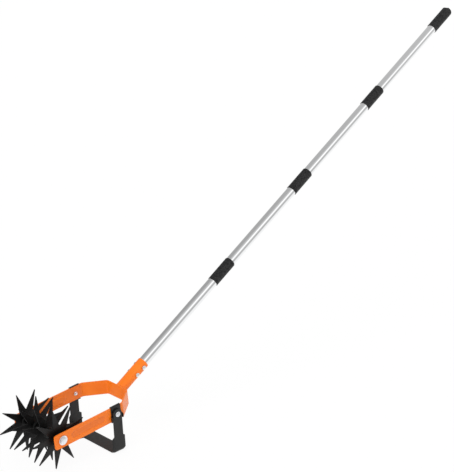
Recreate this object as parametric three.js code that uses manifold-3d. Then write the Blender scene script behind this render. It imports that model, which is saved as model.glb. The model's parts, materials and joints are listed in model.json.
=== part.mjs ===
// Rotary cultivator with a swinging stirrup hoe, on a long sectional pole.
// Millimetres. +X runs back from the star wheels to the hand grip, +Z is up.
// The origin is on the ground, under the middle of the whole tool.

import * as THREE from 'three';
import { mergeVertices } from 'three/addons/utils/BufferGeometryUtils.js';
import Module from 'manifold-3d';

const wasm = await Module();
wasm.setup();

// Fits between pieces
const seatGap = 0.3;
const cutOverrun = 2;
const weldTolerance = 0.0001;

// How the tool is held at work
const degree = Math.PI / 180;
const yokePitch = 6 * degree;
const poleLift = 26.7 * degree;
const stirrupLean = 3 * degree;
const gripTurn = 20 * degree;

// Steel strip of the yoke
const stripHeight = 35;
const stripThickness = 3;
const yokeWidth = 151;
const armFrontReach = 21.5;
const armCornerRadius = 6;
const bendBehindPivot = 22;
const backBehindBend = 48;
const backWidth = 73;
const bendRadius = 9;

// Pressed ovals in the arms
const ovalBehindAxle = 25;
const ovalBeforePivot = 29.5;
const ovalHeight = 16;
const ovalDepth = 1;

// Star wheels on their axle
const starCount = 4;
const spikeCount = 9;
const spikeRadius = 72.8;
const valleyRadius = 27;
const spikeTipWidth = 1.2;
const starThickness = 2.5;
const hubLength = 10;
const hubRadius = 11;
const endSpacerLength = 7.5;
const spacerRadius = 8;
const axleRadius = 5;
const starPhases = [22.8, 3.5, 31.4, 15.8];
const axleWasherRadius = 11;
const axleWasherThickness = 1.5;
const axleHeadRadius = 8.5;
const axleHeadHeight = 3.4;
const axleNutAcrossFlats = 17;
const axleNutHeight = 6.5;
const axleEndProud = 1.5;

// Stirrup hoe and its pivots
const pivotReach = 149;
const legWidth = 24.6;
const legThickness = 3.2;
const bladeDrop = 95.7;
const bladeEdge = 5.9;
const bladeEdgeThickness = 1;
const bladeBendRadius = 6;
const shoulderDrop = 55;
const shoulderHeight = 4;
const swingLimit = 5 * degree;
const pivotRadius = 3;
const pivotHeadRadius = 6.5;
const pivotHeadHeight = 3.6;
const pivotNutRadius = 5.6;
const pivotNutHeight = 4.6;
const pivotNutRoof = 1.4;
const pivotWasherRadius = 9;
const pivotWasherThickness = 0.8;

// Brackets that clip on the arms and stop the swing
const bracketWidth = 27;
const bracketThickness = 2;
const lugTop = 3;
const lugBottom = 14;
const lugProud = 1;

// Pole socket behind the yoke
const socketLength = 92;
const socketWall = 1;
const lastBoltFromMouth = 12.4;
const socketBoltSpacing = 23.2;
const socketBoltCount = 2;
const socketBoltRadius = 2.5;
const socketHeadRadius = 5.2;
const socketHeadHeight = 3;
const socketNutAcrossFlats = 8.6;
const socketNutHeight = 3.6;
const socketEndProud = 1.2;

// Sectional pole
const poleRadius = 12.5;
const poleWall = 1;
const poleStart = 14;
const couplerPitch = 323.5;
const firstCouplerFromSocket = 301;
const couplerCount = 3;
const couplerLength = 70;
const couplerProud = 1.1;
const couplerChamfer = 0.8;
const spigotLength = 26;
const studRadius = 7.5;
const studLength = 34;
const plugLength = 28;
const collarFloor = 6;

// Hand grip
const gripLength = 82;
const gripAfterCoupler = 285;
const gripWall = 1;
const gripTipThickness = 12;
const gripEndRounding = 7;
const gripMouthChamfer = 0.5;
const notchRadius = 8;
const notchDepth = 4;

// Facets round a full turn
const tubeSides = 32;
const boltSides = 18;
const nutSides = 6;
const arcSteps = 4;

// Finishes
function finish(color, roughness, metalness) {
  return new THREE.MeshStandardMaterial({ color, roughness, metalness });
}

const orangePaint = finish(0xf07a1c, 0.42, 0.1);
const blackPaint = finish(0x26262a, 0.5, 0.2);
const brightZinc = finish(0xd8dadc, 0.22, 1);
const poleSteel = finish(0xc9cccf, 0.2, 1);
const blackPlastic = finish(0x2b2c2e, 0.55, 0);

// Solids

function signedVolume(points, corners) {
  const a = new THREE.Vector3();
  const b = new THREE.Vector3();
  const c = new THREE.Vector3();
  let total = 0;
  for (let i = 0; i < corners.length; i += 3) {
    a.fromArray(points, corners[i] * 3);
    b.fromArray(points, corners[i + 1] * 3);
    c.fromArray(points, corners[i + 2] * 3);
    total += a.dot(b.cross(c));
  }
  return total;
}

function solidOf(geometry) {
  const bare = geometry.clone();
  bare.deleteAttribute('normal');
  bare.deleteAttribute('uv');
  const welded = mergeVertices(bare, weldTolerance);
  const points = Float32Array.from(welded.attributes.position.array);
  const corners = [];
  const index = welded.index.array;
  for (let i = 0; i < index.length; i += 3) {
    const [p, q, r] = [index[i], index[i + 1], index[i + 2]];
    if (p !== q && q !== r && r !== p) {
      corners.push(p, q, r);
    }
  }
  if (signedVolume(points, corners) < 0) {
    corners.reverse();
  }
  const triVerts = Uint32Array.from(corners);
  return new wasm.Manifold(new wasm.Mesh({ numProp: 3, vertProperties: points, triVerts }));
}

function geometryOf(solid) {
  const mesh = solid.getMesh();
  const geometry = new THREE.BufferGeometry();
  geometry.setAttribute('position', new THREE.BufferAttribute(mesh.vertProperties, 3));
  geometry.setIndex(new THREE.BufferAttribute(mesh.triVerts, 1));
  geometry.computeVertexNormals();
  return geometry;
}

function piece(name, solid, material) {
  const mesh = new THREE.Mesh(geometryOf(solid), material);
  mesh.name = name;
  return mesh;
}

// A turned body about Y, from points of radius and height
function turned(points, sides) {
  const profile = points.map(([radius, height]) => new THREE.Vector2(radius, height));
  return new THREE.LatheGeometry(profile, sides);
}

function turnedSolid(points, sides) {
  return solidOf(turned(points, sides));
}

// A turned body whose axis is laid along X
function turnedAlongX(points, sides) {
  const geometry = turned(points, sides);
  geometry.rotateZ(-Math.PI / 2);
  return solidOf(geometry);
}

// A plain rod about Y that starts at the given height
function rod(radius, start, length, sides) {
  return turnedSolid([[0, start], [radius, start], [radius, start + length], [0, start + length]], sides);
}

// A sleeve profile, closed on itself
function sleevePoints(inner, outer, start, end) {
  return [[inner, start], [outer, start], [outer, end], [inner, end], [inner, start]];
}

function sleeve(inner, outer, start, end, sides) {
  return turnedSolid(sleevePoints(inner, outer, start, end), sides);
}

// A quarter round from the rim of a head to its crown
function crownPoints(radius, base, height) {
  const points = [];
  for (let i = 0; i <= arcSteps; i += 1) {
    const turn = (Math.PI / 2) * (i / arcSteps);
    points.push([radius * Math.cos(turn), base + height * Math.sin(turn)]);
  }
  points[arcSteps][0] = 0;
  return points;
}

// An upright block between two corners
function block(low, high) {
  const geometry = new THREE.BoxGeometry(high[0] - low[0], high[1] - low[1], high[2] - low[2]);
  geometry.translate((low[0] + high[0]) / 2, (low[1] + high[1]) / 2, (low[2] + high[2]) / 2);
  return solidOf(geometry);
}

const forward = new THREE.Vector3(1, 0, 0);
const sideways = new THREE.Vector3(0, 1, 0);
const upward = new THREE.Vector3(0, 0, 1);

// An outline in X and Z, thickened equally to both sides along Y
function sidePlate(outline, thickness) {
  const geometry = new THREE.ExtrudeGeometry(new THREE.Shape(outline), {
    depth: thickness, bevelEnabled: false, curveSegments: arcSteps,
  });
  geometry.translate(0, 0, -thickness / 2);
  const basis = new THREE.Matrix4().makeBasis(forward, upward, sideways.clone().negate());
  geometry.applyMatrix4(basis);
  return solidOf(geometry);
}

// Corners of an outline or a path, rounded by the given radii
function roundedPath(points, radii) {
  const path = [];
  points.forEach((point, i) => {
    const radius = radii[i];
    if (radius === 0) {
      path.push(point.clone());
      return;
    }
    const before = points[(i + points.length - 1) % points.length];
    const after = points[(i + 1) % points.length];
    const back = before.clone().sub(point).normalize();
    const ahead = after.clone().sub(point).normalize();
    const half = Math.acos(THREE.MathUtils.clamp(back.dot(ahead), -1, 1)) / 2;
    const reach = radius / Math.tan(half);
    const centre = back.clone().add(ahead).normalize().multiplyScalar(radius / Math.sin(half)).add(point);
    const start = back.clone().multiplyScalar(reach).add(point).sub(centre);
    const end = ahead.clone().multiplyScalar(reach).add(point).sub(centre);
    const sweep = Math.atan2(start.cross(end), start.dot(end));
    for (let step = 0; step <= arcSteps; step += 1) {
      path.push(start.clone().rotateAround(new THREE.Vector2(), sweep * step / arcSteps).add(centre));
    }
  });
  return path.filter((point, i) => i === 0 || point.distanceTo(path[i - 1]) > weldTolerance);
}

// A bent strip seen along its width: its outer path, and the same path moved in by the thickness
function stripPaths(points, innerRadius, thickness) {
  const moved = points.map((point, i) => {
    const before = points[Math.max(i - 1, 0)];
    const after = points[Math.min(i + 1, points.length - 1)];
    const inward = [];
    for (const [from, to] of [[before, point], [point, after]]) {
      if (from !== to) {
        const along = to.clone().sub(from).normalize();
        inward.push(new THREE.Vector2(-along.y, along.x));
      }
    }
    const normal = inward[0].clone().add(inward[inward.length - 1]).normalize();
    return normal.multiplyScalar(thickness / normal.dot(inward[0])).add(point);
  });
  const ends = (radius) => points.map((_, i) => (i === 0 || i === points.length - 1 ? 0 : radius));
  const outer = roundedPath(points, ends(innerRadius + thickness));
  const inner = roundedPath(moved, ends(innerRadius));
  return [outer, inner];
}

// A slot outline with round ends, lying along X
function ovalOutline(front, rear, height) {
  const radius = height / 2;
  const outline = [];
  for (let i = 0; i <= arcSteps * 2; i += 1) {
    const turn = -Math.PI / 2 + Math.PI * (i / (arcSteps * 2));
    outline.push(new THREE.Vector2(rear - radius + radius * Math.cos(turn), radius * Math.sin(turn)));
  }
  for (let i = 0; i <= arcSteps * 2; i += 1) {
    const turn = Math.PI / 2 + Math.PI * (i / (arcSteps * 2));
    outline.push(new THREE.Vector2(front + radius + radius * Math.cos(turn), radius * Math.sin(turn)));
  }
  return outline;
}

// Yoke

const armOuter = yokeWidth / 2;
const armInner = armOuter - stripThickness;
const armBendReach = pivotReach + bendBehindPivot;
const backReach = armBendReach + backBehindBend;

function yokeSolid() {
  const path = [
    [-armFrontReach, -armOuter], [armBendReach, -armOuter], [backReach, -backWidth / 2],
    [backReach, backWidth / 2], [armBendReach, armOuter], [-armFrontReach, armOuter],
  ].map(([x, y]) => new THREE.Vector2(x, y));
  const [outer, inner] = stripPaths(path, bendRadius, stripThickness);
  const plan = new THREE.Shape(outer.concat(inner.reverse()));
  const strip = new THREE.ExtrudeGeometry(plan, { depth: stripHeight, bevelEnabled: false });
  strip.translate(0, 0, -stripHeight / 2);
  const corners = [
    [-armFrontReach, -stripHeight / 2], [backReach + cutOverrun, -stripHeight / 2],
    [backReach + cutOverrun, stripHeight / 2], [-armFrontReach, stripHeight / 2],
  ].map(([x, z]) => new THREE.Vector2(x, z));
  const side = roundedPath(corners, [armCornerRadius, 0, 0, armCornerRadius]);
  let yoke = solidOf(strip).intersect(sidePlate(side, yokeWidth + cutOverrun));
  const oval = ovalOutline(ovalBehindAxle, pivotReach - ovalBeforePivot, ovalHeight);
  for (const sign of [-1, 1]) {
    const pressed = sidePlate(oval, ovalDepth * 2);
    yoke = yoke.add(pressed.translate([0, sign * armInner, 0]));
    yoke = yoke.subtract(sidePlate(oval, ovalDepth * 2).translate([0, sign * armOuter, 0]));
  }
  const start = -armOuter - cutOverrun;
  const axleHole = rod(axleRadius + seatGap, start, -start * 2, boltSides);
  const pivotHole = rod(pivotRadius + seatGap, start, -start * 2, boltSides);
  return yoke.subtract(axleHole).subtract(pivotHole.translate([pivotReach, 0, 0]));
}

// Star wheels, axle and spacers

function starSolid() {
  const outline = [];
  const halfTip = spikeTipWidth / 2;
  for (let i = 0; i < spikeCount; i += 1) {
    const turn = (i / spikeCount) * Math.PI * 2;
    const valley = turn + Math.PI / spikeCount;
    const out = new THREE.Vector2(Math.cos(turn), Math.sin(turn));
    const across = new THREE.Vector2(-out.y, out.x).multiplyScalar(halfTip);
    const tip = out.clone().multiplyScalar(spikeRadius);
    outline.push(tip.clone().sub(across), tip.clone().add(across));
    outline.push(new THREE.Vector2(Math.cos(valley), Math.sin(valley)).multiplyScalar(valleyRadius));
  }
  const hub = rod(hubRadius, -hubLength / 2, hubLength, tubeSides);
  const bore = rod(axleRadius + seatGap, -hubLength / 2 - cutOverrun, hubLength + cutOverrun * 2, boltSides);
  return sidePlate(outline, starThickness).add(hub).subtract(bore);
}

const axleWasherFace = armOuter + seatGap + axleWasherThickness;

function axleBoltSolid() {
  const under = axleWasherFace + seatGap;
  const shankEnd = under + axleNutHeight + seatGap + axleEndProud;
  const crown = crownPoints(axleHeadRadius, under, axleHeadHeight);
  const shank = [[0, -shankEnd], [axleRadius, -shankEnd], [axleRadius, under]];
  return turnedSolid([...shank, ...crown], tubeSides);
}

function hexNut(acrossFlats, height, boreRadius) {
  const corner = acrossFlats / 2 / Math.cos(Math.PI / nutSides);
  const nut = turnedSolid([[0, 0], [corner, 0], [corner, height], [0, height]], nutSides);
  const bore = rod(boreRadius, -cutOverrun, height + cutOverrun * 2, boltSides);
  return nut.subtract(bore);
}

function addAxle(head) {
  const bolt = piece('axle_bolt', axleBoltSolid(), brightZinc);
  bolt.rotation.x = Math.PI;
  head.add(bolt);
  const nutSolid = hexNut(axleNutAcrossFlats, axleNutHeight, axleRadius + seatGap);
  const nut = piece('axle_nut', nutSolid, brightZinc);
  nut.position.y = axleWasherFace + seatGap;
  head.add(nut);
  for (const [side, sign] of [['left', -1], ['right', 1]]) {
    const start = armOuter + seatGap;
    const end = start + axleWasherThickness;
    const ring = sleeve(axleRadius + seatGap, axleWasherRadius, start, end, boltSides);
    const washer = piece(`axle_washer_${side}`, ring, brightZinc);
    washer.rotation.x = sign < 0 ? Math.PI : 0;
    head.add(washer);
  }
}

function addStars(head) {
  const firstPlace = -armInner + endSpacerLength + hubLength / 2;
  const starPitch = -firstPlace * 2 / (starCount - 1);
  const bore = axleRadius + seatGap;
  let lastFace = -armInner;
  for (let i = 0; i <= starCount; i += 1) {
    const place = firstPlace + starPitch * i;
    const nextFace = i < starCount ? place - hubLength / 2 : armInner;
    const ring = sleeve(bore, spacerRadius, lastFace + seatGap, nextFace - seatGap, boltSides);
    head.add(piece(`axle_spacer_${i + 1}`, ring, blackPaint));
    lastFace = place + hubLength / 2;
    if (i < starCount) {
      const star = piece(`star_wheel_${i + 1}`, starSolid(), blackPaint);
      star.position.y = place;
      star.rotation.y = -starPhases[starCount - 1 - i] * degree;
      head.add(star);
    }
  }
}

// Stirrup hoe

const bracketFace = armOuter + seatGap + bracketThickness;
const legInner = bracketFace + seatGap + pivotWasherThickness + seatGap;
const legOuter = legInner + legThickness;
const halfBlade = legWidth / 2 + bladeEdge;

// Band with both edges ground away on its outer face, bent along a path in Y and Z
function groundBand() {
  const top = legWidth / 2;
  const path = [[-legOuter, top], [-legOuter, -bladeDrop], [legOuter, -bladeDrop], [legOuter, top]]
    .map(([y, z]) => new THREE.Vector2(y, z));
  const [outer, inner] = stripPaths(path, bladeBendRadius, legThickness);
  const points = [];
  outer.forEach((out, i) => {
    const face = inner[i];
    const edge = face.clone().lerp(out, bladeEdgeThickness / legThickness);
    const half = legWidth / 2;
    const section = [
      [-halfBlade, face], [-halfBlade, edge], [-half, out], [half, out], [halfBlade, edge], [halfBlade, face],
    ];
    section.forEach(([x, point]) => points.push(x, point.x, point.y));
  });
  const count = points.length / outer.length / 3;
  const last = (outer.length - 1) * count;
  const corners = [];
  for (let i = 0; i < last; i += count) {
    for (let k = 0; k < count; k += 1) {
      const next = (k + 1) % count;
      corners.push(i + k, i + count + k, i + count + next, i + k, i + count + next, i + next);
    }
  }
  for (let k = 1; k < count - 1; k += 1) {
    corners.push(0, k, k + 1, last, last + k + 1, last + k);
  }
  const geometry = new THREE.BufferGeometry();
  geometry.setAttribute('position', new THREE.Float32BufferAttribute(points, 3));
  geometry.setIndex(corners);
  return solidOf(geometry);
}

function stirrupSolid() {
  const top = legWidth / 2;
  const shoulder = -shoulderDrop;
  const ramp = shoulder - shoulderHeight;
  const floor = -bladeDrop - cutOverrun;
  const side = [
    [-legWidth / 2, top], [-legWidth / 2, shoulder], [-halfBlade, ramp], [-halfBlade, floor],
    [halfBlade, floor], [halfBlade, ramp], [legWidth / 2, shoulder], [legWidth / 2, top],
  ].map(([x, z]) => new THREE.Vector2(x, z));
  const radii = side.map((_, i) => (i === 0 || i === side.length - 1 ? top : 0));
  const profile = sidePlate(roundedPath(side, radii), (legOuter + cutOverrun) * 2);
  const hole = rod(pivotRadius + seatGap, -legOuter - cutOverrun, (legOuter + cutOverrun) * 2, boltSides);
  return groundBand().intersect(profile).subtract(hole);
}

function bracketSolid() {
  const half = bracketWidth / 2;
  const lipLow = stripHeight / 2 + seatGap;
  const lipHigh = lipLow + bracketThickness;
  const lipReach = -seatGap - stripThickness;
  let bracket = block([-half, 0, -lipHigh], [half, bracketThickness, lipHigh]);
  bracket = bracket.add(block([-half, lipReach, lipLow], [half, bracketThickness, lipHigh]));
  bracket = bracket.add(block([-half, lipReach, -lipHigh], [half, bracketThickness, -lipLow]));
  const halfLeg = legWidth / 2 + seatGap;
  const lugInner = (halfLeg + lugBottom * Math.sin(swingLimit)) / Math.cos(swingLimit);
  const lugOuter = lugInner + bracketThickness;
  const lugReach = legOuter - armOuter - seatGap + lugProud;
  for (const sign of [-1, 1]) {
    const [near, far] = sign < 0 ? [-lugOuter, -half + cutOverrun] : [half - cutOverrun, lugOuter];
    bracket = bracket.add(block([near, 0, -lugBottom], [far, bracketThickness, -lugTop]));
    const [low, high] = sign < 0 ? [-lugOuter, -lugInner] : [lugInner, lugOuter];
    bracket = bracket.add(block([low, 0, -lugBottom], [high, lugReach, -lugTop]));
  }
  const hole = rod(pivotRadius + seatGap, -cutOverrun, bracketThickness + cutOverrun * 2, boltSides);
  return bracket.subtract(hole);
}

const nutShellRadius = pivotRadius + seatGap;
const pivotNutFace = armInner - seatGap;

function pivotBoltSolid() {
  const under = legOuter + seatGap;
  const end = pivotNutFace - pivotNutHeight + pivotNutRoof + seatGap;
  const crown = crownPoints(pivotHeadRadius, under, pivotHeadHeight);
  const shank = [[0, end], [pivotRadius, end], [pivotRadius, under]];
  return turnedSolid([...shank, ...crown], boltSides);
}

function pivotNutSolid() {
  const roof = pivotNutFace - pivotNutHeight;
  const bore = roof + pivotNutRoof;
  const crown = crownPoints(pivotNutRadius, 0, pivotNutRoof).map(([radius, lift]) => [radius, bore - lift]);
  const wall = [[pivotNutRadius, pivotNutFace], [nutShellRadius, pivotNutFace], [nutShellRadius, bore]];
  return turnedSolid([...crown.reverse(), ...wall, [0, bore]], boltSides);
}

function addStirrup(head) {
  const stirrup = piece('stirrup_hoe', stirrupSolid(), blackPaint);
  stirrup.position.x = pivotReach;
  stirrup.rotation.y = stirrupLean;
  head.add(stirrup);
  for (const [side, sign] of [['left', -1], ['right', 1]]) {
    const mount = new THREE.Group();
    mount.position.x = pivotReach;
    mount.rotation.z = sign < 0 ? Math.PI : 0;
    const bracket = piece(`stirrup_bracket_${side}`, bracketSolid(), blackPaint);
    bracket.position.y = armOuter + seatGap;
    const washerStart = bracketFace + seatGap;
    const washerEnd = washerStart + pivotWasherThickness;
    const ring = sleeve(pivotRadius + seatGap, pivotWasherRadius, washerStart, washerEnd, boltSides);
    mount.add(bracket);
    mount.add(piece(`pivot_washer_${side}`, ring, brightZinc));
    mount.add(piece(`pivot_bolt_${side}`, pivotBoltSolid(), brightZinc));
    mount.add(piece(`pivot_nut_${side}`, pivotNutSolid(), brightZinc));
    head.add(mount);
  }
}

// Socket and its cross bolts, along X from the back face of the yoke

const socketBore = poleRadius + seatGap;
const socketRadius = socketBore + socketWall;
const socketBoltPlaces = Array.from({ length: socketBoltCount }, (_, i) => {
  const fromLast = socketBoltSpacing * (socketBoltCount - 1 - i);
  return socketLength - lastBoltFromMouth - fromLast;
});

function crossHoles(radius, reach) {
  return socketBoltPlaces.map((place) => rod(radius, -reach, reach * 2, boltSides).translate([place, 0, 0]));
}

function socketSolid() {
  const start = -socketLength;
  let socket = turnedAlongX(sleevePoints(socketBore, socketRadius, start, socketLength), tubeSides);
  const inYoke = block([-socketLength, -socketLength, -socketLength], [seatGap, socketLength, socketLength]);
  socket = socket.subtract(inYoke.rotate([0, poleLift / degree, 0]));
  for (const hole of crossHoles(socketBoltRadius + seatGap, socketRadius + cutOverrun)) {
    socket = socket.subtract(hole);
  }
  return socket;
}

function socketBoltSolid() {
  const under = socketRadius + seatGap;
  const end = -(socketRadius + seatGap + socketNutHeight + seatGap + socketEndProud);
  const crown = crownPoints(socketHeadRadius, under, socketHeadHeight);
  const shank = [[0, end], [socketBoltRadius, end], [socketBoltRadius, under]];
  return turnedSolid([...shank, ...crown], boltSides);
}

function addSocket(pole) {
  pole.add(piece('pole_socket', socketSolid(), orangePaint));
  socketBoltPlaces.forEach((place, i) => {
    const bolt = piece(`socket_bolt_${i + 1}`, socketBoltSolid(), brightZinc);
    bolt.position.x = place;
    bolt.rotation.x = Math.PI;
    const nutSolid = hexNut(socketNutAcrossFlats, socketNutHeight, socketBoltRadius + seatGap);
    const nut = piece(`socket_nut_${i + 1}`, nutSolid, brightZinc);
    nut.position.set(place, socketRadius + seatGap, 0);
    pole.add(bolt, nut);
  });
}

// Pole sections, couplers and grip, along X from the back face of the yoke

const tubeBore = poleRadius - poleWall;
const couplerHalf = couplerLength / 2;
const couplerRadius = poleRadius + couplerProud;
const gripRadius = poleRadius + seatGap + gripWall;
const firstCouplerPlace = socketLength + firstCouplerFromSocket;
const couplerPlaces = Array.from({ length: couplerCount }, (_, i) => firstCouplerPlace + couplerPitch * i);
const gripStart = couplerPlaces[couplerCount - 1] + gripAfterCoupler;
const gripEnd = gripStart + gripLength;

function tubeSolid(start, end) {
  return turnedAlongX(sleevePoints(tubeBore, poleRadius, start, end), tubeSides);
}

// Collar on the lower section, with its spigot in the tube and a bore for the stud
function collarSolid() {
  const spigot = tubeBore - seatGap;
  const edge = couplerRadius - couplerChamfer;
  const bore = studRadius + seatGap;
  const floor = couplerHalf - studLength - collarFloor;
  return turnedAlongX([
    [0, -couplerHalf - spigotLength], [spigot, -couplerHalf - spigotLength], [spigot, -couplerHalf],
    [edge, -couplerHalf], [couplerRadius, -couplerHalf + couplerChamfer],
    [couplerRadius, couplerHalf - couplerChamfer], [edge, couplerHalf], [bore, couplerHalf],
    [bore, floor], [0, floor],
  ], tubeSides);
}

// Plug in the foot of the upper section, with the stud that screws into the collar
function plugSolid() {
  const body = tubeBore - seatGap;
  const face = couplerHalf + seatGap;
  const end = couplerHalf - studLength;
  return turnedAlongX([
    [0, end], [studRadius, end], [studRadius, face], [body, face], [body, face + plugLength],
    [0, face + plugLength],
  ], tubeSides);
}

function gripSolid() {
  const mouth = gripRadius - gripMouthChamfer;
  const rim = gripEnd - gripEndRounding;
  const outer = [];
  for (let i = 0; i <= arcSteps; i += 1) {
    const turn = (Math.PI / 2) * (i / arcSteps);
    const inset = gripEndRounding * (1 - Math.cos(turn));
    outer.push([gripRadius - inset, rim + gripEndRounding * Math.sin(turn)]);
  }
  const bore = poleRadius + seatGap;
  const floor = gripEnd - gripTipThickness;
  const points = [
    [0, floor], [bore, floor], [bore, gripStart], [mouth, gripStart],
    [gripRadius, gripStart + gripMouthChamfer], ...outer, [0, gripEnd],
  ];
  const across = gripRadius + cutOverrun;
  const notch = rod(notchRadius, -across, across * 2, boltSides);
  const slant = (gripEndRounding + notchRadius - notchDepth) / Math.SQRT2;
  const notchLift = gripRadius - gripEndRounding + slant;
  return turnedAlongX(points, tubeSides).subtract(notch.translate([rim + slant, 0, notchLift]));
}

function addPole(pole) {
  const starts = [poleStart, ...couplerPlaces.map((place) => place + couplerHalf + seatGap)];
  const ends = couplerPlaces.map((place) => place - couplerHalf - seatGap);
  ends.push(gripEnd - gripTipThickness - seatGap);
  starts.forEach((start, i) => {
    let tube = tubeSolid(start, ends[i]);
    if (i === 0) {
      for (const hole of crossHoles(socketBoltRadius + seatGap, socketRadius + cutOverrun)) {
        tube = tube.subtract(hole);
      }
    }
    pole.add(piece(`pole_section_${i + 1}`, tube, poleSteel));
  });
  couplerPlaces.forEach((place, i) => {
    const collar = piece(`pole_coupler_${i + 1}`, collarSolid(), blackPlastic);
    const plug = piece(`coupler_plug_${i + 1}`, plugSolid(), blackPlastic);
    collar.position.x = place;
    plug.position.x = place;
    pole.add(collar, plug);
  });
  const grip = piece('hand_grip', gripSolid(), blackPlastic);
  grip.rotation.x = -gripTurn;
  pole.add(grip);
}

// The whole tool, pitched nose down as at work, and set on the ground

const head = new THREE.Group();
head.rotation.y = -yokePitch;
head.add(piece('yoke', yokeSolid(), orangePaint));
addAxle(head);
addStars(head);
addStirrup(head);

const pole = new THREE.Group();
pole.position.x = backReach;
pole.rotation.y = -poleLift;
addSocket(pole);
addPole(pole);
head.add(pole);

const tool = new THREE.Group();
tool.add(head);
tool.updateMatrixWorld(true);
const extent = new THREE.Box3().setFromObject(tool, true);
const middle = extent.getCenter(new THREE.Vector3());
head.position.set(-middle.x, -middle.y, -extent.min.z);

export default tool;
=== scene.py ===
"""Looks of a rotary cultivator with a swinging stirrup hoe on a long sectional pole.

Every size in the classes is in millimetres. A shape is made in the frame of its own
sub-assembly and is brought into the row frame, in metres, when it is delivered.
"""

from __future__ import annotations

import json
import logging
import math
import random
from dataclasses import dataclass, field, replace
from enum import Enum
from typing import Sequence

import bmesh
import bpy
from bmesh.types import BMesh, BMEdge, BMVert
from mathutils import Matrix, Vector


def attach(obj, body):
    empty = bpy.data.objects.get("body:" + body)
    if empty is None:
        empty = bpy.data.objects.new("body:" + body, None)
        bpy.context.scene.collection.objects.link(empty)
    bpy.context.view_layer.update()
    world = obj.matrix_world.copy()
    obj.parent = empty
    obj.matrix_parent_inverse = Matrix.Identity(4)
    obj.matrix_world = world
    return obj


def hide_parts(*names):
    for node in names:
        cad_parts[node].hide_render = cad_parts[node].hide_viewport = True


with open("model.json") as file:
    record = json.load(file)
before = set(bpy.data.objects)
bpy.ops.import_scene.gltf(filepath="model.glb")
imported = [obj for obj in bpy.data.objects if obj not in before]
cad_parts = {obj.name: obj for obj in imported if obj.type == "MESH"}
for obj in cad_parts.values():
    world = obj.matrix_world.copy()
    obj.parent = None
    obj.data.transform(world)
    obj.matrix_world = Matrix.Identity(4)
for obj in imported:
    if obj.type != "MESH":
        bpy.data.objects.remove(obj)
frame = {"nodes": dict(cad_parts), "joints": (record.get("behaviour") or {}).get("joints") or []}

LOG = logging.getLogger("cultivator")
MM = 0.001
FULL_TURN = 2.0 * math.pi
ACROSS = Matrix.Rotation(math.pi / 2.0, 4, "Z")  # from along X to along Y
CREASE = math.radians(38.0)  # past this, two faces meet in a crease
MERGE = 1e-4  # points closer than this are one
HAIR = 1e-6
DRILL_REACH = 30.0  # well past both sides of the pole
CLEAR = 1.0  # how far a cutter passes the face that it opens
HEX_RATIO = 1.732  # a hexagon's size across its flats, over its corner radius
NUT_FACE, NUT_SLOPE, SLIVER = 0.97, 0.6, 0.01  # the dome that rounds a nut's corners
BREAK_MIDDLE = 0.3  # how far a broken edge's middle is in from its corner
GRID_HALF = 0.5  # a flat blank starts as a grid of this half width
PRESSED_SHADE = "pressed"  # the mesh attribute that marks a pressed oval, whose floor gets a painted shade
WHITE = (1.0, 1.0, 1.0, 1.0)
CLOUD_SPAN = (0.3, 0.7)  # where a cloud of noise has its dark and its light

Output = bpy.types.NodeSocket
Colour = tuple[float, float, float]
Profile = list[tuple[float, float]]


class Slot(Enum):
    """The record's material slots."""

    ORANGE = "orange_paint"
    BLACK = "black_paint"
    ZINC = "bright_zinc"
    STEEL = "pole_steel"
    PLASTIC = "black_plastic"


class Cut(Enum):
    """How one solid works on another."""

    JOIN = "UNION"
    REMOVE = "DIFFERENCE"
    KEEP = "INTERSECT"


# ---------------------------------------------------------------- finishes


class Nodes:
    """A node tree in the making."""

    def __init__(self, owner: bpy.types.Material | bpy.types.World) -> None:
        """Starts with an empty tree.

        Args:
            owner: The material or world that the tree belongs to.
        """
        owner.use_nodes = True
        self.tree = owner.node_tree
        self.tree.nodes.clear()

    def feed(
        self, node: bpy.types.Node, inputs: dict[str | int, Output | Sequence[float] | float]
    ) -> None:
        """Links or sets the inputs of a node.

        Args:
            node: The node.
            inputs: The output or value for each input, by its name or number.
        """
        for name, value in inputs.items():
            if isinstance(value, Output):
                self.tree.links.new(value, node.inputs[name])
            else:
                node.inputs[name].default_value = value

    def add(
        self,
        kind: str,
        inputs: dict[str | int, Output | Sequence[float] | float] | None = None,
        **settings: str,
    ) -> bpy.types.Node:
        """Adds a node.

        Args:
            kind: Its type, without the leading ShaderNode.
            inputs: The output or value for each input, by its name or number.
            settings: The node's own settings.

        Returns:
            The node.
        """
        node = self.tree.nodes.new(f"ShaderNode{kind}")
        for name, value in settings.items():
            setattr(node, name, value)
        self.feed(node, inputs or {})
        return node

    def maths(self, operation: str, *values: Output | float) -> Output:
        """The result of a math node, fed by outputs and plain numbers."""
        return self.add("Math", dict(enumerate(values)), operation=operation).outputs[0]

    def vectors(self, operation: str, name: str, *values: Output | Sequence[float]) -> Output:
        """The named result of a vector math node, fed by outputs and plain vectors."""
        return self.add("VectorMath", dict(enumerate(values)), operation=operation).outputs[name]

    def ranged(
        self, value: Output, source: Sequence[float], target: Sequence[float] = (0.0, 1.0)
    ) -> Output:
        """A value carried from one range to another.

        Args:
            value: The input.
            source: Its lowest and highest.
            target: What they become.

        Returns:
            The result.
        """
        ends = zip(("From Min", "From Max", "To Min", "To Max"), (*source, *target))
        return self.add("MapRange", {"Value": value, **dict(ends)}).outputs["Result"]

    def mixed(self, share: Output, first: Output, second: Output) -> Output:
        """A shader between two, which is the second one where the share is 1."""
        return self.add("MixShader", {"Fac": share, 1: first, 2: second}).outputs["Shader"]

    def seen(self) -> Output:
        """A value that is 1 for what the camera, a gloss or a glass sees, and 0 elsewhere."""
        rays = self.add("LightPath").outputs
        value = rays["Is Camera Ray"]
        for name in ("Is Glossy Ray", "Is Transmission Ray"):
            value = self.maths("MAXIMUM", value, rays[name])
        return value


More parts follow.
